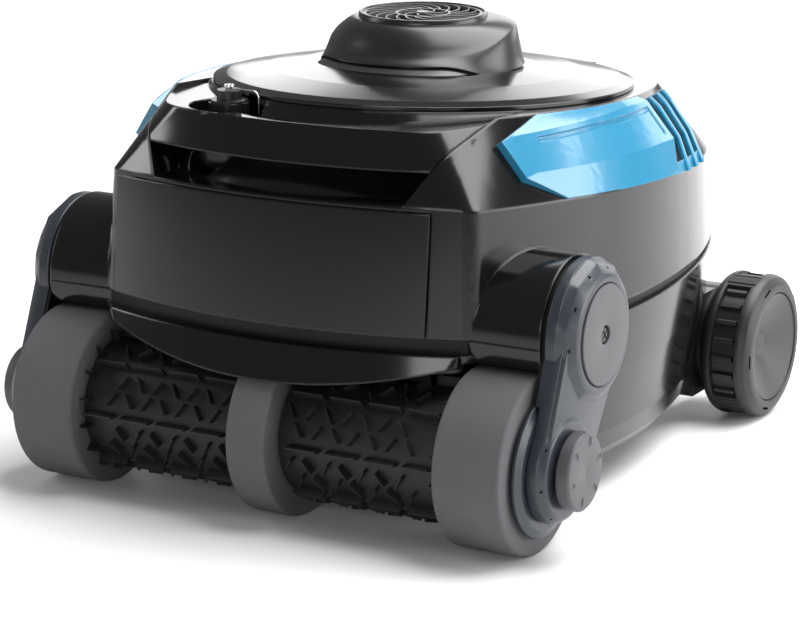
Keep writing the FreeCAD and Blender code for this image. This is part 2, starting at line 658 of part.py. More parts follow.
def arm_housing():
    hub = revolve_x([(ARM_X, 0), (ARM_X, 48.2), (ARM_X + 1.0, HUB_RADIUS), (199.4, HUB_RADIUS),
                     (201.6, 47.4), (207.6, 38.6), (208.2, 36.4), (208.2, 0)], POD_Y, POD_Z)
    low = revolve_x([(192.3, 0), (192.3, LOWER_HUB_RADIUS), (200.5, LOWER_HUB_RADIUS),
                     (LOWER_HUB_X, 32.0), (LOWER_HUB_X, 0)], ROLLER_Y, ROLLER_Z)
    web = arm_outline(0, ARM_X, 201.0).fuse(arm_outline(2.5, 200.9, 203.2))
    web = web.cut(cyl_x(47.4, 180, 192.3, ROLLER_Y, ROLLER_Z))
    body = fuse_all([hub, low, web])
    cavity = arm_outline(9.0, ARM_X - 1, 202.6)
    body = body.cut(cavity)
    body = body.cut(cyl_x(33.6, 207.0, 210, POD_Y, POD_Z))
    body = body.cut(cyl_x(2.6, 200, 210, POD_Y, POD_Z))
    return biggest(body)


def arm_backplate():
    plate = arm_outline(0.5, POD_END_X, ARM_X).fuse(cyl_x(46.4, POD_END_X, ARM_X, POD_Y, POD_Z))
    plate = plate.cut(cyl_x(47.4, 100, 200, ROLLER_Y, ROLLER_Z))
    return plate.cut(cyl_x(5.5, 180, 195, POD_Y, POD_Z)).removeSplitter()


def hub_cap():
    disc = revolve_x([(207.0, 0), (207.0, 33.2), (209.0, 33.2), (ARM_OUTER_X, 32.6),
                      (ARM_OUTER_X, 0)], POD_Y, POD_Z)
    return disc.cut(cyl_x(5.2, 208.2, 215, POD_Y, POD_Z)).cut(cyl_x(2.6, 200, 215, POD_Y, POD_Z))


def hub_screw():
    head = cyl_x(4.4, 208.2, 209.3, POD_Y, POD_Z)
    shank = cyl_x(2.5, 204.0, 208.2, POD_Y, POD_Z)
    slots = [box(208.7, 211, POD_Y - 3, POD_Y + 3, POD_Z - 0.6, POD_Z + 0.6)]
    slots.append(box(208.7, 211, POD_Y - 0.6, POD_Y + 0.6, POD_Z - 3, POD_Z + 3))
    return head.fuse(shank).cut(slots[0]).cut(slots[1]).removeSplitter()


def lower_flange():
    ring = revolve_x([(186.3, 10.0), (186.3, 45.6), (187.6, 46.9), (189.6, 46.9), (192.2, 41.0),
                      (192.2, 10.0)], ROLLER_Y, ROLLER_Z)
    return ring


def roller_bush():
    return cyl_x(10.0, 186.3, 192.2, ROLLER_Y, ROLLER_Z).cut(
        cyl_x(6.0 + RUNNING_GAP, 180, 200, ROLLER_Y, ROLLER_Z))


def end_cap():
    cap = revolve_x([(LOWER_HUB_X, 0), (LOWER_HUB_X, 20.0), (207.5, 20.0), (207.5, 25.0),
                     (208.1, 25.6), (215.8, 25.6), (216.8, 24.6), (216.8, 0)], ROLLER_Y, ROLLER_Z)
    for i in range(6):
        turn = math.radians(60 * i + 15)
        dimple = Part.makeSphere(2.6, V(218.2, ROLLER_Y + 20 * math.cos(turn),
                                        ROLLER_Z + 20 * math.sin(turn)))
        cap = cap.cut(dimple)
    return cap


def drive_belt():
    """Flat belt round both pulleys, a running gap away from them."""
    outer = convex_pair(MOTOR_PULLEY_RADIUS + 2.0, POD_Y, POD_Z,
                        ROLLER_PULLEY_RADIUS + 2.0, ROLLER_Y, ROLLER_Z, 194.4, 200.4)
    inner = convex_pair(MOTOR_PULLEY_RADIUS + 0.35, POD_Y, POD_Z,
                        ROLLER_PULLEY_RADIUS + 0.35, ROLLER_Y, ROLLER_Z, 194.0, 201.0)
    return outer.cut(inner)


def drive_motor():
    can = cyl_x(MOTOR_RADIUS, 122, 165, POD_Y, POD_Z)
    gearbox = cyl_x(23.0, 165, POD_END_X - WALL, POD_Y, POD_Z)
    return can.fuse(gearbox).cut(cyl_x(SHAFT_RADIUS + RUNNING_GAP, 172, 190, POD_Y, POD_Z))


def motor_pulley():
    wheel = cyl_x(MOTOR_PULLEY_RADIUS, PULLEY_X0, PULLEY_X1, POD_Y, POD_Z)
    return wheel.fuse(cyl_x(SHAFT_RADIUS, 172.4, 202.2, POD_Y, POD_Z)).removeSplitter()


def roller_core():
    """Hollow drum with closed ends, a bearing bore inside and a drive shaft outside."""
    drum = cyl_x(CORE_RADIUS, 15.6, 185.6, ROLLER_Y, ROLLER_Z)
    drum = drum.cut(cyl_x(CORE_RADIUS - 4, 27, 176, ROLLER_Y, ROLLER_Z))
    drum = drum.fuse(cyl_x(9.5, 16, 64, ROLLER_Y, ROLLER_Z))
    drum = drum.fuse(cyl_x(6.0, 170, 201.8, ROLLER_Y, ROLLER_Z))
    bore = SPINDLE_RADIUS + RUNNING_GAP
    return drum.cut(cyl_x(bore, 10, 66, ROLLER_Y, ROLLER_Z)).removeSplitter()


def roller_pulley():
    wheel = cyl_x(ROLLER_PULLEY_RADIUS, PULLEY_X0, PULLEY_X1, ROLLER_Y, ROLLER_Z)
    return wheel.cut(cyl_x(6.0, 180, 210, ROLLER_Y, ROLLER_Z))


def brush_sleeve():
    """Rubber sleeve with axial bars; the fine fins between them are cosmetic."""
    pieces = [cyl_x(43.0, CENTRE_RING_HALF + 1.4, RING_INNER_X - 0.5, ROLLER_Y, ROLLER_Z)]
    for i in range(8):
        bar = box(CENTRE_RING_HALF + 1.4, RING_INNER_X - 0.5, -1.6, 1.6, 40, BRUSH_RADIUS)
        bar.rotate(V(0, 0, 0), V(1, 0, 0), 45.0 * i)
        bar.translate(V(0, ROLLER_Y, ROLLER_Z))
        pieces.append(bar)
    return fuse_all(pieces).cut(cyl_x(CORE_RADIUS, 0, 190, ROLLER_Y, ROLLER_Z))


def foam_ring():
    edge = 2.5
    return revolve_x([(RING_INNER_X, CORE_RADIUS), (RING_INNER_X, RING_RADIUS - edge),
                      (RING_INNER_X + edge, RING_RADIUS), (RING_OUTER_X - edge, RING_RADIUS),
                      (RING_OUTER_X, RING_RADIUS - edge), (RING_OUTER_X, CORE_RADIUS)],
                     ROLLER_Y, ROLLER_Z)


def centre_ring():
    half, edge = CENTRE_RING_HALF, 1.5
    bore = SPINDLE_RADIUS + RUNNING_GAP
    return revolve_x([(-half, bore), (-half, RING_RADIUS - edge), (-half + edge, RING_RADIUS),
                      (half - edge, RING_RADIUS), (half, RING_RADIUS - edge), (half, bore)],
                     ROLLER_Y, ROLLER_Z)


def roller_spindle():
    """Cross shaft of the rollers, keyed in the left core and running free in the right one."""
    return cyl_x(SPINDLE_RADIUS, -64, 64, ROLLER_Y, ROLLER_Z)


# --- rear wheels ----------------------------------------------------------------------------------
def rear_tyre():
    tread = revolve_x([(WHEEL_INNER_X, 40.0), (WHEEL_INNER_X, 47.0), (WHEEL_INNER_X + 4, 51.6),
                       (WHEEL_INNER_X + 8, WHEEL_RADIUS), (WHEEL_OUTER_X - 9, WHEEL_RADIUS),
                       (WHEEL_OUTER_X - 4, 51.0), (WHEEL_OUTER_X - 0.6, 46.5),
                       (WHEEL_OUTER_X, 43.0), (WHEEL_OUTER_X, 40.0)], WHEEL_Y, WHEEL_Z)
    for i in range(4):
        window = revolve_x([(166.0, 50.4), (166.0, 60.0), (184.0, 60.0), (184.0, 50.4)],
                           WHEEL_Y, WHEEL_Z)
        wedge = Part.makeCylinder(70, 30, V(160, WHEEL_Y, WHEEL_Z), V(1, 0, 0), 66)
        wedge.rotate(V(0, WHEEL_Y, WHEEL_Z), V(1, 0, 0), 90.0 * i + 10)
        tread = tread.cut(window.common(wedge))
    return biggest(tread)


def rear_hub():
    """Dished disc with a blind bearing sleeve."""
    disc = revolve_x([(157.0, AXLE_RADIUS + RUNNING_GAP), (157.0, 14.0), (176.0, 14.0),
                      (176.0, 36.5), (157.0, 36.5), (157.0, 40.0), (194.2, 40.0),
                      (182.0, 9.0), (182.0, 0), (178.0, 0), (178.0, AXLE_RADIUS + RUNNING_GAP)],
                     WHEEL_Y, WHEEL_Z)
    return disc


def rear_bracket():
    fin = box(120, 150.5, 96, 146, 27, 118)
    boss = cyl_x(40.0, 120, 153.6, WHEEL_Y, WHEEL_Z + 2)
    link = box(120, 150.5, 140, WHEEL_Y, 20, 94)
    body = fuse_all([fin, link, boss]).cut(chassis_envelope(-0.05))
    body = biggest(body)
    return body.cut(cyl_x(AXLE_RADIUS, 100, 170, WHEEL_Y, WHEEL_Z))


def rear_axle():
    return cyl_x(AXLE_RADIUS, 139.0, 177.6, WHEEL_Y, WHEEL_Z)


# --- inside the body ------------------------------------------------------------------------------
def dry_box():
    cup = cyl_z(DRY_BOX_RADIUS, DRY_BOX_BOTTOM, DRY_BOX_TOP - 6)
    return cup.cut(cyl_z(DRY_BOX_RADIUS - 3, DRY_BOX_BOTTOM + 3, FAR))


def dry_box_lid():
    return cyl_z(DRY_BOX_RADIUS, DRY_BOX_TOP - 5, DRY_BOX_TOP).cut(cyl_z(10, 100, 200))


def dry_box_seals():
    """Flat gasket under the box lid, and the lip seal round the pump shaft."""
    gasket = tube_z(DRY_BOX_RADIUS, DRY_BOX_RADIUS - 3, DRY_BOX_TOP - 6, DRY_BOX_TOP - 5)
    lip = tube_z(10.0, SHAFT_RADIUS + RUNNING_GAP, DRY_BOX_TOP - 5, DRY_BOX_TOP + 3)
    return group([gasket, lip])


def pump_motor():
    return cyl_z(26.0, 92, DRY_BOX_TOP - 5).cut(cyl_z(SHAFT_RADIUS + RUNNING_GAP, 120, 160))


def battery_pack():
    """Six cells in a shrink sleeve, bundled hexagonally round a gap."""
    cells = [cyl_z(10.5, 26.2, 82, 26 * math.cos(i * math.pi / 3), 26 * math.sin(i * math.pi / 3))
             for i in range(6)]
    tie = tube_z(30.0, 26.0, 50, 56)
    return fuse_all(cells + [tie])


def control_board():
    board = cyl_z(DRY_BOX_RADIUS - 3, 84, 86)
    chips = [box(-18, -4, -20, -6, 86, 89), box(6, 26, 4, 16, 86, 90), box(-28, -14, 8, 30, 86, 88)]
    return fuse_all([board] + chips)


def pump_duct():
    duct = tube_z(DUCT_OUTER_RADIUS, DUCT_INNER_RADIUS, DRY_BOX_TOP, DUCT_TOP_Z)
    for i in range(4):
        window = box(30, 50, -14, 14, 156, 212)
        window.rotate(V(0, 0, 0), V(0, 0, 1), 90.0 * i + 45)
        duct = duct.cut(window)
    return duct


def impeller():
    hub = cyl_z(9.0, 226, 246)
    shaft = cyl_z(SHAFT_RADIUS, 121, 226)
    blades = [vane(8.0, 37.5, 72.0 * i, 40.0, 2.4, 229, 243) for i in range(5)]
    return fuse_all([hub, shaft] + blades)


def basket_window(x0, x1, y0, y1, side):
    low, high = sorted((side * x0, side * x1))
    return box(low, high, y0, y1, 0, MOUTH_Z + 1)


def filter_basket():
    floor = ellipse_prism(BASKET_HALF_WIDTH, BASKET_HALF_LENGTH, BASKET_BOTTOM, BASKET_BOTTOM + 3)
    rim = ellipse_prism(BASKET_HALF_WIDTH, BASKET_HALF_LENGTH, BASKET_TOP - 6, BASKET_TOP)
    rim = rim.cut(ellipse_prism(BASKET_HALF_WIDTH - 5, BASKET_HALF_LENGTH - 5, 200, FAR))
    core = cyl_z(BASKET_CORE_RADIUS, BASKET_BOTTOM, 150)
    wall = ellipse_prism(BASKET_HALF_WIDTH, BASKET_HALF_LENGTH, BASKET_BOTTOM, BASKET_TOP)
    wall = wall.cut(ellipse_prism(BASKET_HALF_WIDTH - 3, BASKET_HALF_LENGTH - 3, 0, FAR))
    pillars = []
    for i in range(10):
        post = box(80, 140, -4, 4, BASKET_BOTTOM, BASKET_TOP)
        post.rotate(V(0, 0, 0), V(0, 0, 1), 36.0 * i + 18)
        post.translate(V(0, LID_CENTRE_Y, 0))
        pillars.append(post.common(wall))
    frame = fuse_all([floor, rim, core] + pillars)
    frame = frame.cut(cyl_z(BASKET_CORE_RADIUS - 2, 0, FAR))
    for side in (-1, 1):
        frame = frame.cut(basket_window(MOUTH_X[0], MOUTH_X[1], MOUTH_Y[0], MOUTH_Y[1], side))
    return biggest(frame)


def filter_mesh():
    outer = ellipse_prism(BASKET_HALF_WIDTH - 3.0, BASKET_HALF_LENGTH - 3.0,
                          BASKET_BOTTOM + 3, BASKET_TOP - 6)
    return outer.cut(ellipse_prism(BASKET_HALF_WIDTH - 4.0, BASKET_HALF_LENGTH - 4.0, 0, FAR))


def intake_throats():
    """Square ducts from the chassis floor to the basket floor."""
    pieces = []
    for side in (-1, 1):
        outer = basket_window(MOUTH_X[0] - 2.5, MOUTH_X[1] + 2.5, MOUTH_Y[0] - 2.5,
                              MOUTH_Y[1] + 2.5, side)
        inner = basket_window(MOUTH_X[0], MOUTH_X[1], MOUTH_Y[0], MOUTH_Y[1], side)
        slab = cut_slab(BELLY_Z + WALL, BASKET_BOTTOM)
        pieces.append(outer.common(slab).cut(inner))
    return group(pieces)


def intake_flap():
    """Plate over the suction mouth, hinged behind it so that water lifts it."""
    plate = box(MOUTH_X[0] - 2, MOUTH_X[1] + 2, MOUTH_Y[0] - 2, FLAP_HINGE_Y, MOUTH_Z + 0.3,
                MOUTH_Z + 2.0)
    barrel = cyl_x(2.6, MOUTH_X[0] - 2, MOUTH_X[1] + 2, FLAP_HINGE_Y, FLAP_HINGE_Z)
    bore = cyl_x(1.2 + RUNNING_GAP, MOUTH_X[0] - 5, MOUTH_X[1] + 5, FLAP_HINGE_Y, FLAP_HINGE_Z)
    return plate.fuse(barrel).cut(bore).removeSplitter()


def flap_pins():
    pieces = []
    for side in (-1, 1):
        ends = (MOUTH_X[0] - 5, MOUTH_X[1] + 5)
        pieces.append(cyl_x(1.2, side * ends[0], side * ends[1], FLAP_HINGE_Y, FLAP_HINGE_Z))
        for x in ends:
            post = cyl_x(2.6, side * (x - 1.0), side * (x + 1.0), FLAP_HINGE_Y, FLAP_HINGE_Z)
            low, high = sorted((side * (x - 1.0), side * (x + 1.0)))
            foot = box(low, high, FLAP_HINGE_Y - 2.6, FLAP_HINGE_Y + 2.6, MOUTH_Z, FLAP_HINGE_Z)
            pieces[-1] = pieces[-1].fuse(post).fuse(foot)
        pieces[-1] = pieces[-1].removeSplitter()
    return group(pieces)


PARTS = {
    "upper_shell": upper_shell,
    "lower_chassis": lower_chassis,
    "front_fascia": front_fascia,
    "seam_band": seam_band,
    "carry_handle": carry_handle,
    "port_tube": port_tube,
    "port_cap": port_cap,
    "port_bail": port_bail,
    "latch_button": latch_button,
    "lid_dome": lid_dome,
    "lid_seal": lid_seal,
    "lid_hinge_ears": hinge_ears,
    "lid_hinge_pins": hinge_pins,
    "outlet_tower": outlet_tower,
    "outlet_grille": outlet_grille,
    "centre_foam_ring": centre_ring,
    "roller_spindle": roller_spindle,
    "dry_box": dry_box,
    "dry_box_lid": dry_box_lid,
    "dry_box_seals": dry_box_seals,
    "pump_motor": pump_motor,
    "battery_pack": battery_pack,
    "control_board": control_board,
    "pump_duct": pump_duct,
    "impeller": impeller,
    "filter_basket": filter_basket,
    "filter_mesh": filter_mesh,
    "intake_throats": intake_throats,
    "flap_pins": flap_pins,
}

SIDED_PARTS = {             # one node on each side
    "side_panel": side_panel,
    "arm_housing": arm_housing,
    "motor_pulley": motor_pulley,
    "roller_core": roller_core,
    "roller_pulley": roller_pulley,
    "brush_sleeve": brush_sleeve,
    "foam_ring": foam_ring,
    "rear_tyre": rear_tyre,
    "rear_hub": rear_hub,
    "intake_flap": intake_flap,
}

PAIRED_PARTS = {            # both sides in one node, as separate solids
    "vent_inserts": vent_insert,
    "hub_caps": hub_cap,
    "drive_motors": drive_motor,
    "rear_brackets": rear_bracket,
    "arm_backplates": arm_backplate,
    "hub_screws": hub_screw,
    "lower_flanges": lower_flange,
    "roller_bushes": roller_bush,
    "end_caps": end_cap,
    "drive_belts": drive_belt,
    "rear_axles": rear_axle,
}


def save(name, shape):
    shape.exportStep("parts/%s.step" % name)
    print(name, shape.isValid(), len(shape.Solids), round(shape.Volume / 1000, 1))


def main():
    os.makedirs("parts", exist_ok=True)
    for name, make in PARTS.items():
        save(name, make())
    for name, make in SIDED_PARTS.items():
        right = make()
        save(name + "_right", right)
        save(name + "_left", mirror_x(right))
    for name, make in PAIRED_PARTS.items():
        right = make()
        save(name, group([mirror_x(right), right]))


main()
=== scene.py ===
"""Looks for the robotic pool cleaner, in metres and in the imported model's frame.

X points to the machine's right, Y to its rear and Z up. The right-hand pieces are built first
and mirrored to the left.
"""
import json
import math

import bmesh
import bpy
from mathutils import Matrix, Vector
from mathutils.bvhtree import BVHTree


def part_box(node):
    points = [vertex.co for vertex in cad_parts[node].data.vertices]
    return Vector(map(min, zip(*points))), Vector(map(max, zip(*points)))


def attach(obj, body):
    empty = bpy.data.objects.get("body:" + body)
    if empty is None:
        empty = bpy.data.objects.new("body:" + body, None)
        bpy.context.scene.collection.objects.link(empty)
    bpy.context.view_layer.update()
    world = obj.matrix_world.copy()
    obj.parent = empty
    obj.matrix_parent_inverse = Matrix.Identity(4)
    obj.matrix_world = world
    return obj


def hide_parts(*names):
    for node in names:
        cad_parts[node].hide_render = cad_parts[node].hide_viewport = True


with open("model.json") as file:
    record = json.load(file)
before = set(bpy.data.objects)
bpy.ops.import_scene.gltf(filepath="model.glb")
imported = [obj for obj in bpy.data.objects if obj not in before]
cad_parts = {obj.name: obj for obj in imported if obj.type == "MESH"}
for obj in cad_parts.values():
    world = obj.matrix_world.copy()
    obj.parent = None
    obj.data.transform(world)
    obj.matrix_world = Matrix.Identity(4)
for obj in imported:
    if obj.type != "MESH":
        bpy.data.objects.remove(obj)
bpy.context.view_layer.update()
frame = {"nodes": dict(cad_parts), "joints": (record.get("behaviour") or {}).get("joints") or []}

MM = 0.001
NODES = frame["nodes"]
JOINTS = {joint["name"]: joint for joint in frame["joints"]}

# --- places read from the frame -------------------------------------------------------------------
ROLLER = Vector(JOINTS["right_roller_spin"]["pos_m"])
MOTOR = Vector(JOINTS["right_motor_spin"]["pos_m"])
WHEEL = Vector(JOINTS["right_wheel_spin"]["pos_m"])
PORT = Vector(JOINTS["port_cap_turn"]["pos_m"])


# --- small mesh tools -----------------------------------------------------------------------------
def smooth_step(low, high, value):
    """0 up to low, 1 from high, and a smooth rise between."""
    t = min(1.0, max(0.0, (value - low) / (high - low)))
    return t * t * (3 - 2 * t)


def link(name, mesh, material, smooth=32.0):
    """New piece with one material; edges sharper than smooth degrees stay crisp."""
    mesh.validate()
    mesh.materials.clear()
    mesh.materials.append(material)
    piece = bpy.data.objects.new(name, mesh)
    bpy.context.scene.collection.objects.link(piece)
    for face in mesh.polygons:
        face.use_smooth = True
    mesh.set_sharp_from_angle(angle=math.radians(smooth))
    return piece


def mesh_from(name, vertices, faces):
    """Mesh with its doubled points merged and its faces turned outward."""
    mesh = bpy.data.meshes.new(name)
    mesh.from_pydata([tuple(v) for v in vertices], [], faces)
    work = bmesh.new()
    work.from_mesh(mesh)
    bmesh.ops.remove_doubles(work, verts=work.verts, dist=1e-6)
    bmesh.ops.recalc_face_normals(work, faces=work.faces)
    work.to_mesh(mesh)
    work.free()
    return mesh


def soften(points, radius, steps=3, closed=True):
    """Outline with each corner rounded by a short curve; points are (a, b) pairs."""
    count = len(points)
    rounded = []
    for i in range(count):
        corner = Vector(points[i])
        if not closed and i in (0, count - 1):
            rounded.append(corner)
            continue
        before = Vector(points[i - 1]) - corner
        after = Vector(points[(i + 1) % count]) - corner
        start = corner + before.normalized() * min(radius, before.length * 0.45)
        end = corner + after.normalized() * min(radius, after.length * 0.45)
        for step in range(steps + 1):
            t = step / steps
            rounded.append(start * (1 - t) ** 2 + corner * 2 * t * (1 - t) + end * t ** 2)
    return [tuple(point) for point in rounded]


def turned(name, outline, place, segments=144, shape=None):
    """Closed ring of outline points (x, radius) turned about X through place, in millimetres.

    shape(index, angle, radius) may change the radius round the turn.
    """
    vertices, faces = [], []
    count = len(outline)
    for step in range(segments):
        angle = 2 * math.pi * step / segments
        for i, (x, radius) in enumerate(outline):
            reach = shape(i, angle, radius) if shape else radius
            vertices.append((x * MM, place.y + reach * MM * math.cos(angle),
                             place.z + reach * MM * math.sin(angle)))
    for step in range(segments):
        near, far = step * count, ((step + 1) % segments) * count
        for i in range(count):
            j = (i + 1) % count
            if outline[i][1] == 0 and outline[j][1] == 0:
                continue
            faces.append((near + i, near + j, far + j, far + i))
    return mesh_from(name, vertices, faces)


def mirrored(piece, name):
    """The left-hand twin of a right-hand piece."""
    mesh = piece.data.copy()
    mesh.transform(Matrix.Scale(-1, 4, (1, 0, 0)))
    mesh.flip_normals()
    twin = bpy.data.objects.new(name, mesh)
    bpy.context.scene.collection.objects.link(twin)
    return twin


def joined(name, parts, material, smooth=32.0):
    """One piece from several meshes."""
    work = bmesh.new()
    for mesh in parts:
        work.from_mesh(mesh)
    mesh = bpy.data.meshes.new(name)
    work.to_mesh(mesh)
    work.free()
    return link(name, mesh, material, smooth)


def apply_modifiers(piece):
    """Bake a piece's modifiers into its mesh."""
    bpy.context.view_layer.update()
    view = piece.evaluated_get(bpy.context.evaluated_depsgraph_get())
    mesh = bpy.data.meshes.new_from_object(view)
    piece.modifiers.clear()
    piece.data = mesh
    return piece


def carve(piece, cutter_meshes, smooth=32.0):
    """Take the cutters out of a piece."""
    cutter = joined(piece.name + "_cutter", cutter_meshes, piece.data.materials[0])
    cut = piece.modifiers.new("carve", "BOOLEAN")
    cut.operation = "DIFFERENCE"
    cut.object = cutter
    cut.solver = "EXACT"
    cut.use_self = True
    apply_modifiers(piece)
    bpy.data.objects.remove(cutter)
    for face in piece.data.polygons:
        face.use_smooth = True
    piece.data.set_sharp_from_angle(angle=math.radians(smooth))
    return piece


def rounded_edges(piece, width, segments=2, angle=30.0):
    """Bevel a piece's sharp edges; width in millimetres."""
    bevel = piece.modifiers.new("rounding", "BEVEL")
    bevel.width = width * MM
    bevel.segments = segments
    bevel.limit_method = "ANGLE"
    bevel.angle_limit = math.radians(angle)
    bevel.harden_normals = False
    return apply_modifiers(piece)


def prism(base, lift):
    """Closed prism mesh from a list of base points and a lift vector."""
    count = len(base)
    vertices = [Vector(p) for p in base] + [Vector(p) + Vector(lift) for p in base]
    faces = [tuple(range(count)), tuple(range(2 * count - 1, count - 1, -1))]
    faces += [(i, i + count, (i + 1) % count + count, (i + 1) % count) for i in range(count)]
    return mesh_from("prism", vertices, faces)


def block(x0, x1, y0, y1, z0, z1):
    """Box mesh between two corners, in millimetres."""
    base = [(x0 * MM, y0 * MM, z0 * MM), (x1 * MM, y0 * MM, z0 * MM),
            (x1 * MM, y1 * MM, z0 * MM), (x0 * MM, y1 * MM, z0 * MM)]
    return prism(base, (0, 0, (z1 - z0) * MM))


def turn_about(mesh, place, angle):
    """Turn a mesh about the line along X through place; angle in radians."""
    mesh.transform(Matrix.Translation(-place))
    mesh.transform(Matrix.Rotation(angle, 4, "X"))
    mesh.transform(Matrix.Translation(place))
    return mesh


# --- materials ------------------------------------------------------------------------------------
def material(name, colour, roughness, grain=900.0, bump=0.06, bump_depth=0.05, mottle=0.04,
             rough_spread=0.05, metallic=0.0, coat=0.0, specular=0.5, cloud=22.0, edge=0.0):
    """Moulded surface: fine grain in the bump, and slow clouds in the colour and roughness.

    edge is the radius, in millimetres, of the light that sharp edges catch.
    """
    made = bpy.data.materials.new(name)
    made.use_nodes = True
    nodes, links = made.node_tree.nodes, made.node_tree.links
    shader = nodes["Principled BSDF"]
    shader.inputs["Metallic"].default_value = metallic
    shader.inputs["Specular IOR Level"].default_value = specular
    shader.inputs["Coat Weight"].default_value = coat
    shader.inputs["Coat Roughness"].default_value = 0.08
    place = nodes.new("ShaderNodeTexCoord")
    clouds = nodes.new("ShaderNodeTexNoise")
    clouds.inputs["Scale"].default_value = cloud
    clouds.inputs["Detail"].default_value = 5.0
    links.new(place.outputs["Object"], clouds.inputs["Vector"])
    tone = nodes.new("ShaderNodeMix")
    tone.data_type = "RGBA"
    tone.inputs["A"].default_value = [c * (1 - mottle) for c in colour] + [1]
    tone.inputs["B"].default_value = [min(1, c * (1 + mottle)) for c in colour] + [1]
    links.new(clouds.outputs["Fac"], tone.inputs["Factor"])
    links.new(tone.outputs["Result"], shader.inputs["Base Color"])
    rough = nodes.new("ShaderNodeMapRange")
    rough.inputs["To Min"].default_value = max(0.02, roughness - rough_spread)
    rough.inputs["To Max"].default_value = roughness + rough_spread
    links.new(clouds.outputs["Fac"], rough.inputs["Value"])
    links.new(rough.outputs["Result"], shader.inputs["Roughness"])
    fine = nodes.new("ShaderNodeTexNoise")
    fine.inputs["Scale"].default_value = grain
    fine.inputs["Detail"].default_value = 3.0
    links.new(place.outputs["Object"], fine.inputs["Vector"])
    relief = nodes.new("ShaderNodeBump")
    relief.inputs["Strength"].default_value = bump
    relief.inputs["Distance"].default_value = bump_depth * MM
    links.new(fine.outputs["Fac"], relief.inputs["Height"])
    links.new(relief.outputs["Normal"], shader.inputs["Normal"])
    if edge:
        rounding = nodes.new("ShaderNodeBevel")
        rounding.samples = 6
        rounding.inputs["Radius"].default_value = edge * MM
        links.new(rounding.outputs["Normal"], relief.inputs["Normal"])
    return made


BLACK = (0.0045, 0.0045, 0.0052)
GLOSS_BLACK = material("gloss_black", BLACK, 0.13, grain=260.0, bump=0.008, rough_spread=0.02,
                       specular=0.42, edge=2.2)
LID_BLACK = material("lid_black", BLACK, 0.15, grain=260.0, bump=0.008, rough_spread=0.02,
                     specular=0.55, edge=1.2)
SATIN_BLACK = material("satin_black", (0.008, 0.008, 0.009), 0.34, bump=0.10, edge=0.6)
DEEP_BLACK = material("deep_black", (0.004, 0.004, 0.0045), 0.5, bump=0.15, specular=0.2)
TOWER_BLACK = material("tower_black", (0.010, 0.010, 0.0115), 0.30, grain=1400.0, bump=0.10,
                       edge=0.8)
SLATE = material("slate_plastic", (0.021, 0.025, 0.034), 0.36, grain=1600.0, bump=0.14, edge=0.5)
SLATE_DARK = material("slate_dark", (0.015, 0.020, 0.028), 0.36, grain=1600.0, bump=0.14)
CAP_GREY = material("cap_grey", (0.058, 0.056, 0.062), 0.46, grain=2200.0, bump=0.18)
BLUE = material("blue_plastic", (0.016, 0.190, 0.330), 0.22, grain=1500.0, bump=0.03, coat=0.25,
                mottle=0.03, edge=0.7)
FOAM = material("foam_grey", (0.095, 0.094, 0.100), 0.82, grain=1300.0, bump=0.55,
                bump_depth=0.25, mottle=0.10, specular=0.25, cloud=60.0)
RUBBER = material("brush_rubber", (0.007, 0.007, 0.008), 0.50, grain=900.0, bump=0.2,
                  specular=0.4)
TYRE = material("tyre_black", (0.0075, 0.0075, 0.0085), 0.46, grain=1500.0, bump=0.22)
WHEEL_GREY = material("wheel_grey", (0.030, 0.030, 0.033), 0.46, grain=2000.0, bump=0.2)
STEEL = material("stainless", (0.62, 0.62, 0.63), 0.22, grain=700.0, bump=0.05, metallic=1.0)
ZINC = material("motor_metal", (0.30, 0.31, 0.32), 0.35, metallic=0.9)
ACETAL = material("pulley_plastic", (0.50, 0.50, 0.47), 0.42)
GRILLE = material("grille_black", (0.085, 0.087, 0.086), 0.34, grain=1200.0, bump=0.08)
BASKET = material("basket_grey", (0.20, 0.21, 0.205), 0.42)
SLEEVE = material("cell_wrap", (0.03, 0.10, 0.32), 0.35)
BOARD = material("circuit_green", (0.02, 0.17, 0.06), 0.4)
MESH_WHITE = material("mesh_white", (0.70, 0.72, 0.73), 0.6, grain=2600.0, bump=0.6)

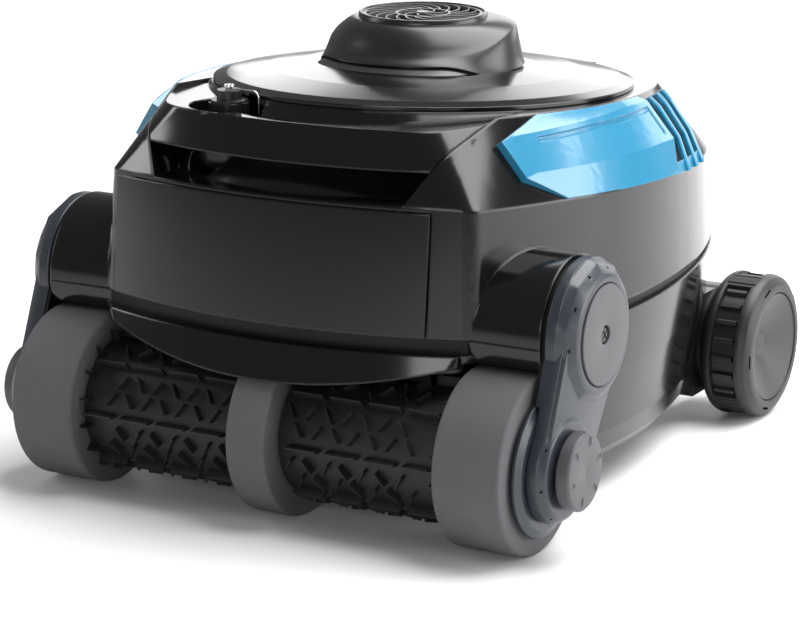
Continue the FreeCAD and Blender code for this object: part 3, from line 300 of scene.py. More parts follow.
CAD_LOOKS = {
    "upper_shell": GLOSS_BLACK, "lower_chassis": GLOSS_BLACK, "front_fascia": GLOSS_BLACK,
    "carry_handle": GLOSS_BLACK, "lid_dome": LID_BLACK, "seam_band": DEEP_BLACK,
    "outlet_tower": TOWER_BLACK, "port_tube": SATIN_BLACK, "port_cap": SATIN_BLACK,
    "latch_button": SATIN_BLACK, "rear_brackets": SATIN_BLACK, "arm_backplates": DEEP_BLACK,
    "lid_hinge_ears": SATIN_BLACK, "vent_inserts": DEEP_BLACK, "dry_box": SATIN_BLACK,
    "dry_box_lid": SATIN_BLACK, "pump_duct": SATIN_BLACK, "impeller": SATIN_BLACK,
    "intake_flap_left": SATIN_BLACK, "intake_flap_right": SATIN_BLACK,
    "intake_throats": SATIN_BLACK, "roller_core_left": SATIN_BLACK,
    "roller_core_right": SATIN_BLACK, "outlet_grille": GRILLE, "filter_basket": BASKET,
    "arm_housing_left": SLATE, "arm_housing_right": SLATE, "lower_flanges": SLATE_DARK,
    "hub_caps": CAP_GREY, "end_caps": CAP_GREY, "rear_hub_left": WHEEL_GREY,
    "rear_hub_right": WHEEL_GREY, "side_panel_left": BLUE, "side_panel_right": BLUE,
    "brush_sleeve_left": RUBBER, "brush_sleeve_right": RUBBER, "lid_seal": RUBBER,
    "dry_box_seals": RUBBER, "drive_belts": RUBBER, "foam_ring_left": FOAM,
    "foam_ring_right": FOAM, "centre_foam_ring": FOAM, "rear_tyre_left": TYRE,
    "rear_tyre_right": TYRE, "port_bail": STEEL, "lid_hinge_pins": STEEL, "flap_pins": STEEL,
    "roller_spindle": STEEL, "rear_axles": STEEL, "hub_screws": STEEL, "drive_motors": ZINC,
    "pump_motor": ZINC, "motor_pulley_left": ACETAL, "motor_pulley_right": ACETAL,
    "roller_pulley_left": ACETAL, "roller_pulley_right": ACETAL, "roller_bushes": ACETAL,
    "battery_pack": SLEEVE, "control_board": BOARD, "filter_mesh": MESH_WHITE,
}
for node_name, look in CAD_LOOKS.items():
    node_mesh = NODES[node_name].data
    node_mesh.materials.clear()
    node_mesh.materials.append(look)


# --- foam rings -----------------------------------------------------------------------------------
RING_BORES = {"right": 38.0, "left": 38.0, "centre": 12.0}
RING_EDGES = {"right": 3.2, "left": 3.2, "centre": 2.0}


def foam_rings():
    """Three plain rings with round edges, as wide and as large as in the CAD."""
    for side, bore in RING_BORES.items():
        node = "centre_foam_ring" if side == "centre" else "foam_ring_" + side
        low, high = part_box(node)
        radius = (high.z - low.z) / 2 / MM
        x0, x1 = low.x / MM, high.x / MM
        edge = RING_EDGES[side]
        outline = soften([(x0, bore), (x0, radius), (x1, radius), (x1, bore)], edge, steps=5)
        piece = link("foam_roll_" + side, turned("foam", outline, ROLLER, 192), FOAM, 50)
        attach(piece, "roller_" + side)
        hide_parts(node)


# --- brushes --------------------------------------------------------------------------------------
DRUM_BORE = 38.05
DRUM_RADIUS = 43.0
BLADE_FOOT = 42.5                       # the blades' roots are sunk in the drum
BLADE_RADIUS = 49.6
BRUSH_ROWS = 8
BARS_PER_ROW = 4
GUSSETS = 16                            # short blades at the outer end of the drum
CHEVRON_PITCH = 13.6


def blade(x, angle, lean, length, thickness, foot, tip):
    """Tapered rubber blade standing on the drum; lean 0 lies along the axle, in degrees."""
    along = Vector((math.cos(math.radians(lean)), math.sin(math.radians(lean))))
    across = Vector((-along.y, along.x))
    vertices = []
    for level, width in ((foot, thickness), (tip - 0.8, thickness * 0.7), (tip, thickness * 0.35)):
        stretch = length / 2 * (1.0 if level == foot else 0.94)
        for u, v in ((-1, -1), (1, -1), (1, 1), (-1, 1)):
            flat = along * (u * stretch) + across * (v * width / 2)
            turn = angle + flat.y / BLADE_RADIUS
            vertices.append(((x + flat.x) * MM, ROLLER.y + level * MM * math.cos(turn),
                             ROLLER.z + level * MM * math.sin(turn)))
    faces = [(3, 2, 1, 0), (8, 9, 10, 11)]
    for ring in (0, 4):
        faces += [(ring + i, ring + (i + 1) % 4, ring + 4 + (i + 1) % 4, ring + 4 + i)
                  for i in range(4)]
    return mesh_from("blade", vertices, faces)


def brush():
    """Right brush: a drum with rows of bars along the axle and slanting blades between them."""
    low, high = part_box("brush_sleeve_right")
    x0, x1 = low.x / MM, high.x / MM
    outline = soften([(x0, DRUM_BORE), (x0, DRUM_RADIUS), (x1, DRUM_RADIUS), (x1, DRUM_BORE)], 0.8)
    parts = [turned("drum", outline, ROLLER, 96)]
    step = 2 * math.pi / BRUSH_ROWS
    bar_length = (x1 - x0 - 8) / BARS_PER_ROW - 4
    for row in range(BRUSH_ROWS):
        shift = 6.0 if row % 2 else 0.0
        for k in range(BARS_PER_ROW):
            centre = x0 + 6 + (bar_length + 4.5) * (k + 0.5) - shift / 2
            parts.append(blade(centre, row * step, 0, bar_length, 2.4, BLADE_FOOT, BLADE_RADIUS))
        for line, offset in ((0.33, 0.0), (0.67, CHEVRON_PITCH / 2)):
            count = int((x1 - x0 - 14) / CHEVRON_PITCH)
            for k in range(count):
                centre = x0 + 9 + CHEVRON_PITCH * k + offset
                lean = 58.0 if (k + row) % 2 else -58.0
                parts.append(blade(centre, (row + line) * step, lean, 11.5, 1.9, BLADE_FOOT,
                                   BLADE_RADIUS - 1.2))
    for k in range(GUSSETS):
        parts.append(blade(x1 - 3.4, k * step / 2 + 0.2, 0, 6.4, 2.0, 42.0, 50.0))
    return joined("brush_right", parts, RUBBER, 25)


def brushes():
    right = brush()
    left = mirrored(right, "brush_left")
    for side, piece in (("right", right), ("left", left)):
        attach(piece, "roller_" + side)
        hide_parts("brush_sleeve_" + side)


# --- arms -----------------------------------------------------------------------------------------
HUB_FACETS = 10
HUB_OUTLINE = [(189.5, 44.0), (189.5, 48.2), (190.3, 49.0), (197.6, 49.0), (202.6, 46.6),
               (207.4, 39.2), (208.2, 36.6), (208.2, 33.9), (207.3, 33.6), (207.3, 8.0)]
LOW_HUB_OUTLINE = [(192.4, 20.0), (192.4, 36.0), (199.5, 36.0), (204.2, 32.6), (205.0, 30.8),
                   (205.0, 20.0)]
HOLE_ANGLES = [2, 38, 74, 110, 146, 182]
SCREW_TURN = 38.0                       # degrees that the cross of the hub screw is turned
FACET_RINGS = {}                        # strength of the flats at points of the hub's outline


def faceted(index, angle, radius):
    """Flats round the hub's shoulder, strongest where the cone begins."""
    if index not in FACET_RINGS:
        return radius
    sector = 2 * math.pi / HUB_FACETS
    local = (angle - math.radians(20)) % sector - sector / 2
    flat = math.cos(sector / 2) / math.cos(local)
    return radius * (1 - FACET_RINGS[index] * (1 - flat))


def tangent_plate(r0, r1, x0, x1, steps=40):
    """Plate that wraps both hubs: arcs round each centre joined by tangents."""
    gap = Vector((ROLLER.y - MOTOR.y, ROLLER.z - MOTOR.z)) / MM
    base = math.atan2(gap.y, gap.x)
    lean = math.acos((r0 - r1) / gap.length)
    points = []
    for centre, radius, start, end in ((MOTOR, r0, base + lean, base + 2 * math.pi - lean),
                                       (ROLLER, r1, base - lean, base + lean)):
        for i in range(steps + 1):
            turn = start + (end - start) * i / steps
            points.append((x0 * MM, centre.y + radius * MM * math.cos(turn),
                           centre.z + radius * MM * math.sin(turn)))
    return prism(points, ((x1 - x0) * MM, 0, 0))


def triangle_cutter(place, distance, degrees, x, size, depth, slope):
    """Small three-sided pit whose axis leans out along the cone."""
    turn = math.radians(degrees)
    outward = Vector((0, math.cos(turn), math.sin(turn)))
    around = Vector((0, -math.sin(turn), math.cos(turn)))
    normal = (Vector((1, 0, 0)) * math.cos(slope) + outward * math.sin(slope)).normalized()
    up = around.cross(normal).normalized()
    centre = Vector((x * MM, place.y, place.z)) + outward * distance * MM
    base = []
    for i in range(3):
        spin = 2 * math.pi * i / 3 + math.pi / 2
        base.append(centre + (around * math.cos(spin) + up * math.sin(spin)) * size * MM
                    - normal * depth * MM)
    return prism(base, normal * depth * 2 * MM)


def arms():
    """Web, faceted hub and lower hub of each arm, with three-sided pits round both hubs."""
    hub_line = soften(HUB_OUTLINE, 0.7, steps=2)
    for i, (x, radius) in enumerate(hub_line):
        if 201.5 < x < 203.6:
            FACET_RINGS[i] = 1.0
        if 197.0 < x < 198.4 and radius > 48:
            FACET_RINGS[i] = 0.35
    hub = turned("hub", hub_line, MOTOR, 160, faceted)
    low = turned("low", soften(LOW_HUB_OUTLINE, 0.8, steps=2), ROLLER, 144)
    plates = [tangent_plate(42.0, 33.0, 189.6, 201.0), tangent_plate(39.5, 30.5, 200.8, 203.2)]
    web = joined("arm_web", plates, SLATE)
    web = carve(web, [turned("clear", [(180, 0.01), (180, 47.4), (192.3, 47.4), (192.3, 0.01)],
                             ROLLER, 96)])
    web = rounded_edges(web, 0.7, 2, 40)
    slope = math.radians(33)
    pits = [triangle_cutter(MOTOR, 43.4, d, 204.8, 1.9, 2.2, slope) for d in HOLE_ANGLES]
    shell = carve(link("hub_shell", hub, SLATE), pits)
    rim_pits = [triangle_cutter(ROLLER, 34.0, 45 * i + 10, 202.0, 1.5, 2.0, math.radians(45))
                for i in range(8)]
    lower = carve(link("low_shell", low, SLATE), rim_pits)
    arm = joined("arm_cover_right", [web.data, shell.data, lower.data], SLATE, 24)
    for scrap in (web, shell, lower):
        bpy.data.objects.remove(scrap)
    twin = mirrored(arm, "arm_cover_left")
    for side, piece in (("right", arm), ("left", twin)):
        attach(piece, "hull")
        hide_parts("arm_housing_" + side)


def hub_faces():
    """Flat cap with a fine bright edge and a sunk cross-head screw, on each arm."""
    outline = soften([(207.2, 6.2), (207.2, 33.0), (209.0, 33.0), (209.4, 32.5), (209.4, 6.9),
                      (208.9, 6.2)], 0.25, steps=2)
    cap = turned("cap", outline, MOTOR, 160)
    screw = turned("screw", soften([(205.5, 0.01), (205.5, 5.4), (207.9, 5.4), (208.4, 4.2),
                                    (208.6, 0.01)], 0.4, steps=2), MOTOR, 48)
    y, z = MOTOR.y / MM, MOTOR.z / MM
    slots = [block(207.6, 210.0, y - 3.9, y + 3.9, z - 0.75, z + 0.75),
             block(207.6, 210.0, y - 0.75, y + 0.75, z - 3.9, z + 3.9)]
    face = link("hub_face_right", cap, CAP_GREY, 20)
    head = carve(link("hub_bolt_right", screw, SATIN_BLACK, 30), slots, 30)
    turn_about(head.data, MOTOR, math.radians(SCREW_TURN))
    other_face, other_head = mirrored(face, "hub_face_left"), mirrored(head, "hub_bolt_left")
    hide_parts("hub_caps")
    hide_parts("hub_screws")
    for piece, slot in ((face, "cap_grey"), (other_face, "cap_grey"), (head, "stainless"),
                        (other_head, "stainless")):
        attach(piece, "hull")


def dimple(turn):
    """Oval pit in the end cap's face, its long axis pointing outward."""
    work = bmesh.new()
    bmesh.ops.create_uvsphere(work, u_segments=24, v_segments=16, radius=2.5 * MM)
    bmesh.ops.scale(work, verts=work.verts, vec=(0.8, 1.0, 1.7))
    bmesh.ops.rotate(work, verts=work.verts, cent=(0, 0, 0),
                     matrix=Matrix.Rotation(turn - math.pi / 2, 3, "X"))
    bmesh.ops.translate(work, verts=work.verts, vec=(
        217.6 * MM, ROLLER.y + 19.6 * MM * math.cos(turn), ROLLER.z + 19.6 * MM * math.sin(turn)))
    pit = bpy.data.meshes.new("pit")
    work.to_mesh(pit)
    work.free()
    return pit


def lower_ends():
    """Stepped flange behind each roller arm and the dimpled end cap in front of it."""
    ring = [(186.4, 10.2), (186.4, 45.4), (187.6, 46.8), (189.6, 46.8), (190.4, 44.6),
            (191.0, 43.4), (192.1, 41.0), (192.1, 10.2)]
    flange = link("lower_disc_right", turned("flange", soften(ring, 0.5, 2), ROLLER, 144),
                  SLATE_DARK, 24)
    cap_line = [(204.9, 0.01), (204.9, 20.0), (207.5, 20.0), (207.5, 25.2), (208.2, 25.6),
                (215.4, 25.6), (216.8, 24.0), (216.8, 0.01)]
    cap = link("end_knob_right", turned("cap", soften(cap_line, 0.6, 2), ROLLER, 144),
               CAP_GREY, 24)
    cap = carve(cap, [dimple(math.radians(60 * i + 15)) for i in range(6)], 24)
    other_flange = mirrored(flange, "lower_disc_left")
    other_cap = mirrored(cap, "end_knob_left")
    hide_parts("lower_flanges")
    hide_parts("end_caps")
    for piece, slot in ((flange, "slate_plastic"), (other_flange, "slate_plastic"),
                        (cap, "cap_grey"), (other_cap, "cap_grey")):
        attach(piece, "hull")


# --- rear wheels ----------------------------------------------------------------------------------
TREAD_WINDOWS = 3
TREAD_RADIUS = 53.0
WINDOW_TURN = 105.0                     # degrees where the first window begins
WINDOW_MIDDLE_X = 174.5
WINDOW_HALF_WIDTH = 9.5
WINDOW_DEPTH = 4.2
RIB_PITCH = 14.0
RIB_HEIGHT = 3.0


def tread_depth(x, angle):
    """Millimetres the tread is sunk: ribbed windows with round corners, and an L-shaped groove."""
    sector = 2 * math.pi / TREAD_WINDOWS
    local = ((angle - math.radians(WINDOW_TURN)) % sector - sector / 2) * TREAD_RADIUS
    half = sector * TREAD_RADIUS / 2 - 8.5
    across = abs(x - WINDOW_MIDDLE_X)
    inside = min(half - abs(local), WINDOW_HALF_WIDTH - across)
    depth = WINDOW_DEPTH * smooth_step(0.0, 1.0, inside)
    if inside > 1.6:
        bars = abs(((local + 5 * RIB_PITCH) % RIB_PITCH) - RIB_PITCH / 2)
        depth -= RIB_HEIGHT * smooth_step(4.6, 5.4, bars)
    if across < WINDOW_HALF_WIDTH + 1.5:
        lip = abs(half + 3.0 - abs(local))
        depth = max(depth, 1.1 * (1 - smooth_step(0.45, 0.95, lip)))
    return depth


def wheel_tyre():
    """Tyre as a fine grid round the axle, closed through its bore."""
    outline = soften([(155.5, 40.2), (155.5, 46.8), (158.5, 51.2), (162.0, 53.0), (187.0, 53.0),
                      (191.4, 51.4), (194.6, 46.6), (195.0, 44.0), (195.0, 40.2)], 1.2, steps=3)
    on_tread = TREAD_RADIUS - 0.1
    start = max(i for i, (x, r) in enumerate(outline) if x < 163 and r > on_tread)
    end = min(i for i, (x, r) in enumerate(outline) if x > 185 and r > on_tread)
    stations = 70
    first, last = outline[start][0], outline[end][0]
    middle = [(first + (last - first) * i / stations, TREAD_RADIUS) for i in range(1, stations)]
    line = outline[:start + 1] + middle + outline[end:]

    def sunk(index, angle, radius):
        x = line[index][0]
        if start <= index <= start + stations:
            return radius - tread_depth(x, angle)
        return radius
    return turned("tyre", line, WHEEL, 720, sunk)


def rear_wheels():
    """Ribbed tyre with five notches in its outer edge, and the dished hub inside it."""
    tyre = link("wheel_tyre_right", wheel_tyre(), TYRE, 60)
    y, z = WHEEL.y / MM, WHEEL.z / MM
    notches = [turn_about(block(190.5, 196.0, y - 5.0, y + 5.0, z + 45.2, z + 47.0), WHEEL,
                          2 * math.pi * k / 5 + 0.35) for k in range(5)]
    tyre = carve(tyre, notches, 60)
    dish = [(157.2, 7.4), (157.2, 39.9), (193.4, 39.9), (194.2, 39.2), (193.6, 38.2), (184.6, 12.0),
            (183.0, 8.0), (182.6, 0.01), (178.2, 0.01), (178.2, 7.4)]
    hub = link("wheel_dish_right", turned("dish", soften(dish, 1.0, 3), WHEEL, 160),
               WHEEL_GREY, 40)
    for side in ("right", "left"):
        rim = tyre if side == "right" else mirrored(tyre, "wheel_tyre_left")
        disc = hub if side == "right" else mirrored(hub, "wheel_dish_left")
        for piece, node, slot in ((rim, "rear_tyre_", "tyre_black"),
                                  (disc, "rear_hub_", "cap_grey")):
            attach(piece, "wheel_" + side)
            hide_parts(node + side)


# --- blue side panels -----------------------------------------------------------------------------
def shell_tree():
    """Faces of the upper casing, for laying pieces on it."""
    node = NODES["upper_shell"]
    corners = [node.matrix_world @ vertex.co for vertex in node.data.vertices]
    return BVHTree.FromPolygons(corners, [tuple(face.vertices) for face in node.data.polygons])


SHELL = shell_tree()
FALL = math.tan(math.radians(3.03))     # the crease and the rim fall this much to the rear
CREASE_Z = 208.0                        # just above the shoulder crease at the middle of the body
RIM_Z = 261.8                           # just below the rim
VENT_LINE = [(26, 262), (42, 249), (57, 226), (49, 205)]
VENT_PITCH = 21.0
BLADE_THICKNESS = 4.6


def over_shell(y, z, proud):
    """Place above the right shoulder, from its side-view position in millimetres."""
    z = min(max(z, CREASE_Z - FALL * y), RIM_Z - FALL * y)
    hit, normal, _, _ = SHELL.ray_cast(Vector((0.4, y * MM, z * MM)), Vector((-1, 0, 0)))
    outward = Vector((normal.x, normal.y, normal.z)) if normal.x > 0 else -normal
    return hit + outward * proud * MM


def resampled(line, count):
    """Evenly spaced points along an open line of (y, z) points."""
    spots = [Vector(p) for p in line]
    lengths = [(b - a).length for a, b in zip(spots, spots[1:])]
    total, made = sum(lengths), []
    for i in range(count):
        reach, k = total * i / (count - 1), 0
        while k < len(lengths) - 1 and reach > lengths[k]:
            reach -= lengths[k]
            k += 1
        made.append(spots[k].lerp(spots[k + 1], min(1.0, reach / lengths[k])))
    return made


def slab_faces(height, width):
    """Faces of a closed slab: an outer grid of points, an inner one, and the wall between."""
    half, faces = height * width, []
    for r in range(height - 1):
        for c in range(width - 1):
            a = r * width + c
            faces.append((a, a + 1, a + width + 1, a + width))
            faces.append((half + a, half + a + width, half + a + width + 1, half + a + 1))
    rim = list(range(width)) + [r * width + width - 1 for r in range(1, height)]
    rim += [half - width + c for c in range(width - 2, -1, -1)]
    rim += [r * width for r in range(height - 2, 0, -1)]
    return faces + [(a, half + a, half + b, b) for a, b in zip(rim, rim[1:] + rim[:1])]


def skin_patch(rows, prouds, base=-0.5):
    """Closed slab on the shell from rows of side-view points; prouds has one height per point."""
    count = len(rows[0])
    vertices = [over_shell(spot.x, spot.y, height) for row, heights in zip(rows, prouds)
                for spot, height in zip(row, heights)]
    vertices += [over_shell(spot.x, spot.y, base) for row in rows for spot in row]
    return mesh_from("patch", vertices, slab_faces(len(rows), count))


def line_distance(spot, line):
    """Shortest distance from a spot to an open line of points."""
    best = math.inf
    for a, b in zip(line, line[1:]):
        along = b - a
        t = min(1.0, max(0.0, (spot - a).dot(along) / along.length_squared))
        best = min(best, (spot - a - along * t).length)
    return best


def panel_face():
    """Main face: three facets between four long lines, with an L-shaped groove."""
    columns = 200
    lines = [resampled(line, columns) for line in (
        [(-95.8, 267.0), (26.5, 260.9)],
        [(-137.6, 253.6), (-128, 255.8), (-1.4, 257.4), (34, 255.5)],
        [(-134.0, 231.0), (-123, 232.8), (30, 227.8), (57, 226)],
        [(-102.8, 215.7), (40, 206.8), (49, 205.6)])]
    heights = (2.0, 6.0, 5.8, 1.6)
    groove = [lines[1][int(u * columns)].lerp(lines[2][int(u * columns)], v)
              for u, v in ((0.17, 0.19), (0.5, 0.19), (0.945, 0.19), (0.945, 0.80))]
    rows, prouds = [], []
    for band, steps in enumerate((12, 44, 18)):
        for step in range(steps + (band == 2)):
            share = step / steps
            row = [a.lerp(b, share) for a, b in zip(lines[band], lines[band + 1])]
            level = heights[band] * (1 - share) + heights[band + 1] * share
            rows.append(row)
            prouds.append([level - 1.6 * (1 - smooth_step(1.1, 1.9, line_distance(spot, groove)))
                           if band == 1 else level for spot in row])
    return skin_patch(rows, prouds)


def panel_fin(index):
    """Chevron blade behind the main face."""
    trail = [(y + VENT_PITCH * index, z - 1.5 * index) for y, z in VENT_LINE]
    trail[0] = (trail[0][0] + 4, 258.3 - FALL * trail[0][0])
    rows = [resampled([(y - back, z) for y, z in trail], 40)
            for back in (BLADE_THICKNESS, BLADE_THICKNESS / 2, 0)]
    return skin_patch(rows, [[3.6] * 40, [4.2] * 40, [4.4] * 40])


def panel_foot():
    """Low web that ties the feet of the blades together."""
    rows = [resampled([(50, 212.0), (113, 208.5)], 30), resampled([(47, 205.6), (110, 201)], 30)]
    return skin_patch(rows, [[3.2] * 30, [1.8] * 30])


def side_panels():
    """Blue panel on each shoulder: its face, three chevron blades and the web at their feet."""
    parts = [panel_face(), panel_foot()] + [panel_fin(k) for k in (1, 2, 3)]
    right = joined("panel_cover_right", parts, BLUE, 5)
    left = mirrored(right, "panel_cover_left")
    for side, piece in (("right", right), ("left", left)):
        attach(piece, "hull")
        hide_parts("side_panel_" + side)


# --- nose -----------------------------------------------------------------------------------------
HALF_LENGTH = 219.0                     # body half length at the seam
NOSE_RADIUS = 361.0                     # plan radius of the nose
WALL_DRAFT = 6.0 / 70.5                 # inward lean of the wall for each millimetre of height
NOSE_FOOT = 137.3                       # height of the panel's lower edge
NOSE_CREASE = 207.2                     # height of its upper edge at the middle of the body
NOSE_LEFT = -130.5                      # where the nose turns into the left corner
NOSE_RIGHT = 111.6                      # the upright crease


def nose_place(x, share, proud):
    """Point on the drafted nose at a height share from the seam (0) to the shoulder crease (1)."""
    z = NOSE_FOOT
    for _ in range(3):
        reach = HALF_LENGTH - WALL_DRAFT * (z - 137.0)
        y = NOSE_RADIUS - reach - math.sqrt(NOSE_RADIUS ** 2 - x * x)
        z = NOSE_FOOT + (NOSE_CREASE - FALL * y - NOSE_FOOT) * share
    return Vector((x, y - proud, z)) * MM


def nose_skin():
    """Front panel from the left corner to the single upright crease on the right."""
    columns, levels = 90, 12
    vertices = [nose_place(NOSE_LEFT + (NOSE_RIGHT - NOSE_LEFT) * c / columns, r / levels, proud)
                for proud in (0.15, -1.0) for r in range(levels + 1) for c in range(columns + 1)]
    nose = mesh_from("nose", vertices, slab_faces(levels + 1, columns + 1))
    panel = link("nose_skin", nose, GLOSS_BLACK, 30)
    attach(panel, "hull")
    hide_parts("front_fascia")


# --- port hook ------------------------------------------------------------------------------------
def post(radius, z0, z1):
    """Upright cylinder on the axis of the port."""
    work = bmesh.new()
    bmesh.ops.create_cone(work, cap_ends=True, segments=40, radius1=radius * MM,
                          radius2=radius * MM, depth=(z1 - z0) * MM)
    bmesh.ops.translate(work, verts=work.verts, vec=(PORT.x, PORT.y, (z0 + z1) / 2 * MM))
    mesh = bpy.data.meshes.new("post")
    work.to_mesh(mesh)
    work.free()
    return mesh


def port_hook():
    """Smooth bent wire held by the screw on the port's cap."""
    reach, bend, level, foot, radius = 23.0, 5.0, 276.7, 252.2, 0.55
    path = [(1.8, level)]
    for i in range(13):
        turn = math.radians(90 - 7.5 * i)
        path.append((reach - bend + bend * math.cos(turn), level - bend + bend * math.sin(turn)))
    path.append((reach, foot))
    vertices, faces, sides = [], [], 12
    for i, spot in enumerate(path):
        before, after = Vector(path[max(i - 1, 0)]), Vector(path[min(i + 1, len(path) - 1)])
        ahead = (after - before).normalized()
        for k in range(sides):
            turn = 2 * math.pi * k / sides
            out = radius * math.cos(turn)
            vertices.append((PORT.x + (spot[0] - ahead.y * out) * MM,
                             PORT.y + radius * math.sin(turn) * MM,
                             (spot[1] + ahead.x * out) * MM))
    for i in range(len(path) - 1):
        for k in range(sides):
            a, b = i * sides + k, i * sides + (k + 1) % sides
            faces.append((a, b, b + sides, a + sides))
    faces += [tuple(range(sides)), tuple(range(len(vertices) - 1, len(vertices) - sides - 1, -1))]
    wire = mesh_from("wire", vertices, faces)
    x, y = PORT.x / MM, PORT.y / MM
    head = carve(link("head", post(3.4, 277.1, 279.4), STEEL),
                 [block(x - 2.6, x + 2.6, y - 0.5, y + 0.5, 278.5, 280.0),
                  block(x - 0.5, x + 0.5, y - 2.6, y + 2.6, 278.5, 280.0)])
    head = rounded_edges(head, 0.35, 2, 50)
    hook = joined("port_hook", [wire, head.data, post(2.2, 276.0, 277.2)], STEEL, 40)
    bpy.data.objects.remove(head)
    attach(hook, "port_knob")
    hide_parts("port_bail")


# --- outlet tower ---------------------------------------------------------------------------------
SHOULDER_LOW = 291.0                    # height of the shoulder at the front
SHOULDER_RISE = 13.5                    # how much higher it stands at the rear
COLLAR_LOW = 276.5                      # height of the collar's edge at the rear
COLLAR_LIFT = 7.5                       # how much higher it stands at the front
MOUTH_RADIUS = 44.9
FLARE = 18.5                            # growth of the radius from the mouth to the shoulder


def tower_ring(angle, top):
    """Outside of the tower at one bearing, from the mouth down to the collar's foot."""
    forward = -math.sin(angle)                  # 1 at the front (-Y), -1 at the rear
    shoulder = SHOULDER_LOW + SHOULDER_RISE * smooth_step(-0.75, 0.45, -forward)
    edge = COLLAR_LOW + COLLAR_LIFT * smooth_step(0.35, 0.8, forward)
    beak = smooth_step(0.1, 1.0, forward)
    points = [(42.1, top - 4.0), (42.1, top - 0.5), (42.6, top), (44.0, top), (44.6, top - 0.6),
              (MOUTH_RADIUS, top - 3.4)]
    for i in range(1, 14):
        t = i / 14
        points.append((MOUTH_RADIUS + FLARE * t ** 0.95,
                       (top - 3.4) * (1 - t ** 1.7) + t ** 1.7 * shoulder))
    points += [(64.3, shoulder - 0.5), (65.1, shoulder - 1.6)]
    points += [(65.1 + 5.5 * t, (shoulder - 1.6) * (1 - t) + (edge + 1.2) * t)
               for t in (0.33, 0.66, 1.0)]
    points += [(71.0, edge + 0.6), (70.7, edge), (69.0, edge - 0.5)]
    points += [(67.5 + 7.0 * beak, edge - 2.0), (65.5 + 18.0 * beak, 272.0 + 7.0 * beak),
               (61.0 + 14.0 * beak, 268.0 + 5.0 * beak)]
    return points


def outlet_tower():
    """Round neck that flares to a shoulder which falls to the front, over an undercut collar."""
    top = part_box("outlet_tower")[1].z / MM
    segments = 192
    vertices, faces = [], []
    for step in range(segments):
        angle = 2 * math.pi * step / segments
        for radius, z in tower_ring(angle, top):
            vertices.append((radius * MM * math.cos(angle), radius * MM * math.sin(angle), z * MM))
    count = len(tower_ring(0.0, top))
    for step in range(segments):
        near, far = step * count, ((step + 1) % segments) * count
        faces += [(near + i, near + i + 1, far + i + 1, far + i) for i in range(count - 1)]
    piece = link("outlet_cowl", mesh_from("cowl", vertices, faces), TOWER_BLACK, 40)
    shell = piece.modifiers.new("wall", "SOLIDIFY")
    shell.thickness = 1.5 * MM
    shell.offset = -1.0
    apply_modifiers(piece)
    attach(piece, "lid")
    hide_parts("outlet_tower")


# --- stage ----------------------------------------------------------------------------------------
def stage():
    """Plain pale floor under the wheels."""
    work = bmesh.new()
    bmesh.ops.create_grid(work, x_segments=4, y_segments=4, size=14.0)
    mesh = bpy.data.meshes.new("floor")
    work.to_mesh(mesh)
    work.free()
    pale = material("floor_pale", (0.86, 0.86, 0.865), 0.55, grain=300.0, bump=0.03, mottle=0.01,
                    cloud=3.0, specular=0.3)
    floor = link("floor", mesh, pale)
    floor.location.z = -0.0002


def area_light(name, place, target, width, height, power):
    """Soft rectangular light at place that faces target; power in watts."""
    data = bpy.data.lights.new(name, "AREA")
    data.shape = "RECTANGLE"
    data.size, data.size_y = width, height
    data.energy = power
    lamp = bpy.data.objects.new(name, data)
    bpy.context.scene.collection.objects.link(lamp)
    lamp.location = place
    lamp.rotation_euler = (Vector(target) - Vector(place)).to_track_quat("-Z", "Y").to_euler()


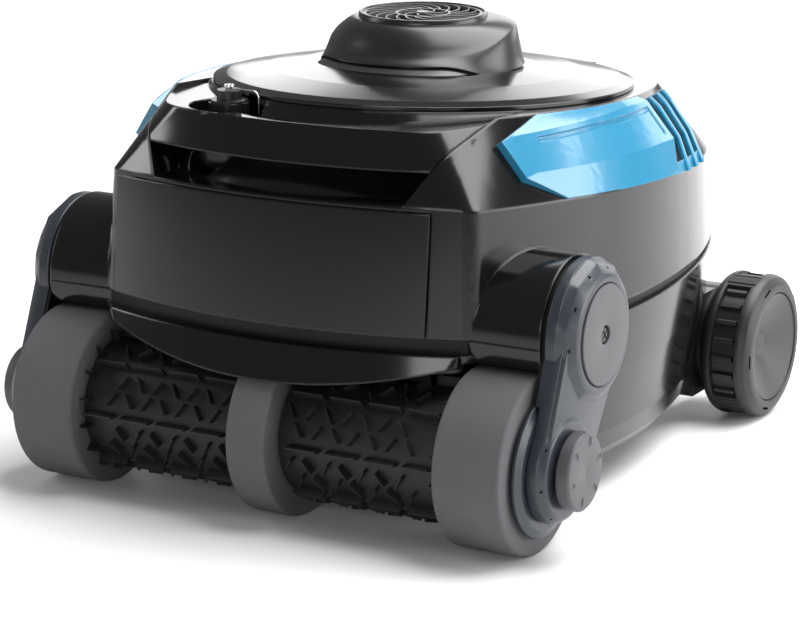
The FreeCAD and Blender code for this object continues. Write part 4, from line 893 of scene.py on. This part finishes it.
def lights():
    """White studio: a dim surround, one light above and four at the sides."""
    world = bpy.data.worlds.new("studio")
    bpy.context.scene.world = world
    world.use_nodes = True
    world.node_tree.nodes["Background"].inputs["Color"].default_value = (1, 1, 1, 1)
    world.node_tree.nodes["Background"].inputs["Strength"].default_value = 0.2
    area_light("overhead", (0.7, 0.75, 2.3), (0.1, 0.1, 0.0), 2.6, 2.2, 140)
    area_light("back_panel", (-0.4, 3.0, 0.9), (0, 0, 0.2), 3.4, 1.2, 33)
    area_light("right_panel", (2.6, 1.1, 0.8), (0.1, 0, 0.15), 2.2, 1.3, 58)
    area_light("left_strip", (-1.9, -0.7, 0.9), (-0.1, -0.1, 0.15), 0.35, 1.2, 9)
    area_light("front_box", (0.75, -2.3, 0.75), (0, 0, 0.15), 0.9, 0.7, 12)


# --- camera ---------------------------------------------------------------------------------------
CAMERA_AZIMUTH = 28.95                  # degrees
CAMERA_ELEVATION = 14.05
CAMERA_ROLL = 0.24
CAMERA_DISTANCE = 2.14518
CAMERA_TARGET = Vector((0, -0.030, 0.120))
CAMERA_LENS = 137.69                    # millimetres, on a sensor 36 mm wide
CAMERA_SHIFT = (-0.0013, -0.0324)


def camera():
    """Long lens in front of the machine's right-hand corner, a little above it."""
    turn, lift, roll = (math.radians(a) for a in (CAMERA_AZIMUTH, CAMERA_ELEVATION, CAMERA_ROLL))
    back = Vector((math.sin(turn) * math.cos(lift), -math.cos(turn) * math.cos(lift),
                   math.sin(lift)))
    level = Vector((math.cos(turn), math.sin(turn), 0))
    upright = back.cross(level)
    right = level * math.cos(roll) + upright * math.sin(roll)
    up = upright * math.cos(roll) - level * math.sin(roll)
    lens = bpy.data.cameras.new("camera")
    lens.lens = CAMERA_LENS
    lens.sensor_width = 36.0
    lens.shift_x, lens.shift_y = CAMERA_SHIFT
    lens.clip_end = 100.0
    view = bpy.data.objects.new("camera", lens)
    bpy.context.scene.collection.objects.link(view)
    place = CAMERA_TARGET + back * CAMERA_DISTANCE
    view.matrix_world = Matrix((
        (right.x, up.x, back.x, place.x), (right.y, up.y, back.y, place.y),
        (right.z, up.z, back.z, place.z), (0, 0, 0, 1)))
    bpy.context.scene.camera = view


foam_rings()
brushes()
arms()
hub_faces()
lower_ends()
rear_wheels()
outlet_tower()
side_panels()
nose_skin()
port_hook()
stage()
lights()
camera()
bpy.context.scene.view_settings.view_transform = "Standard"
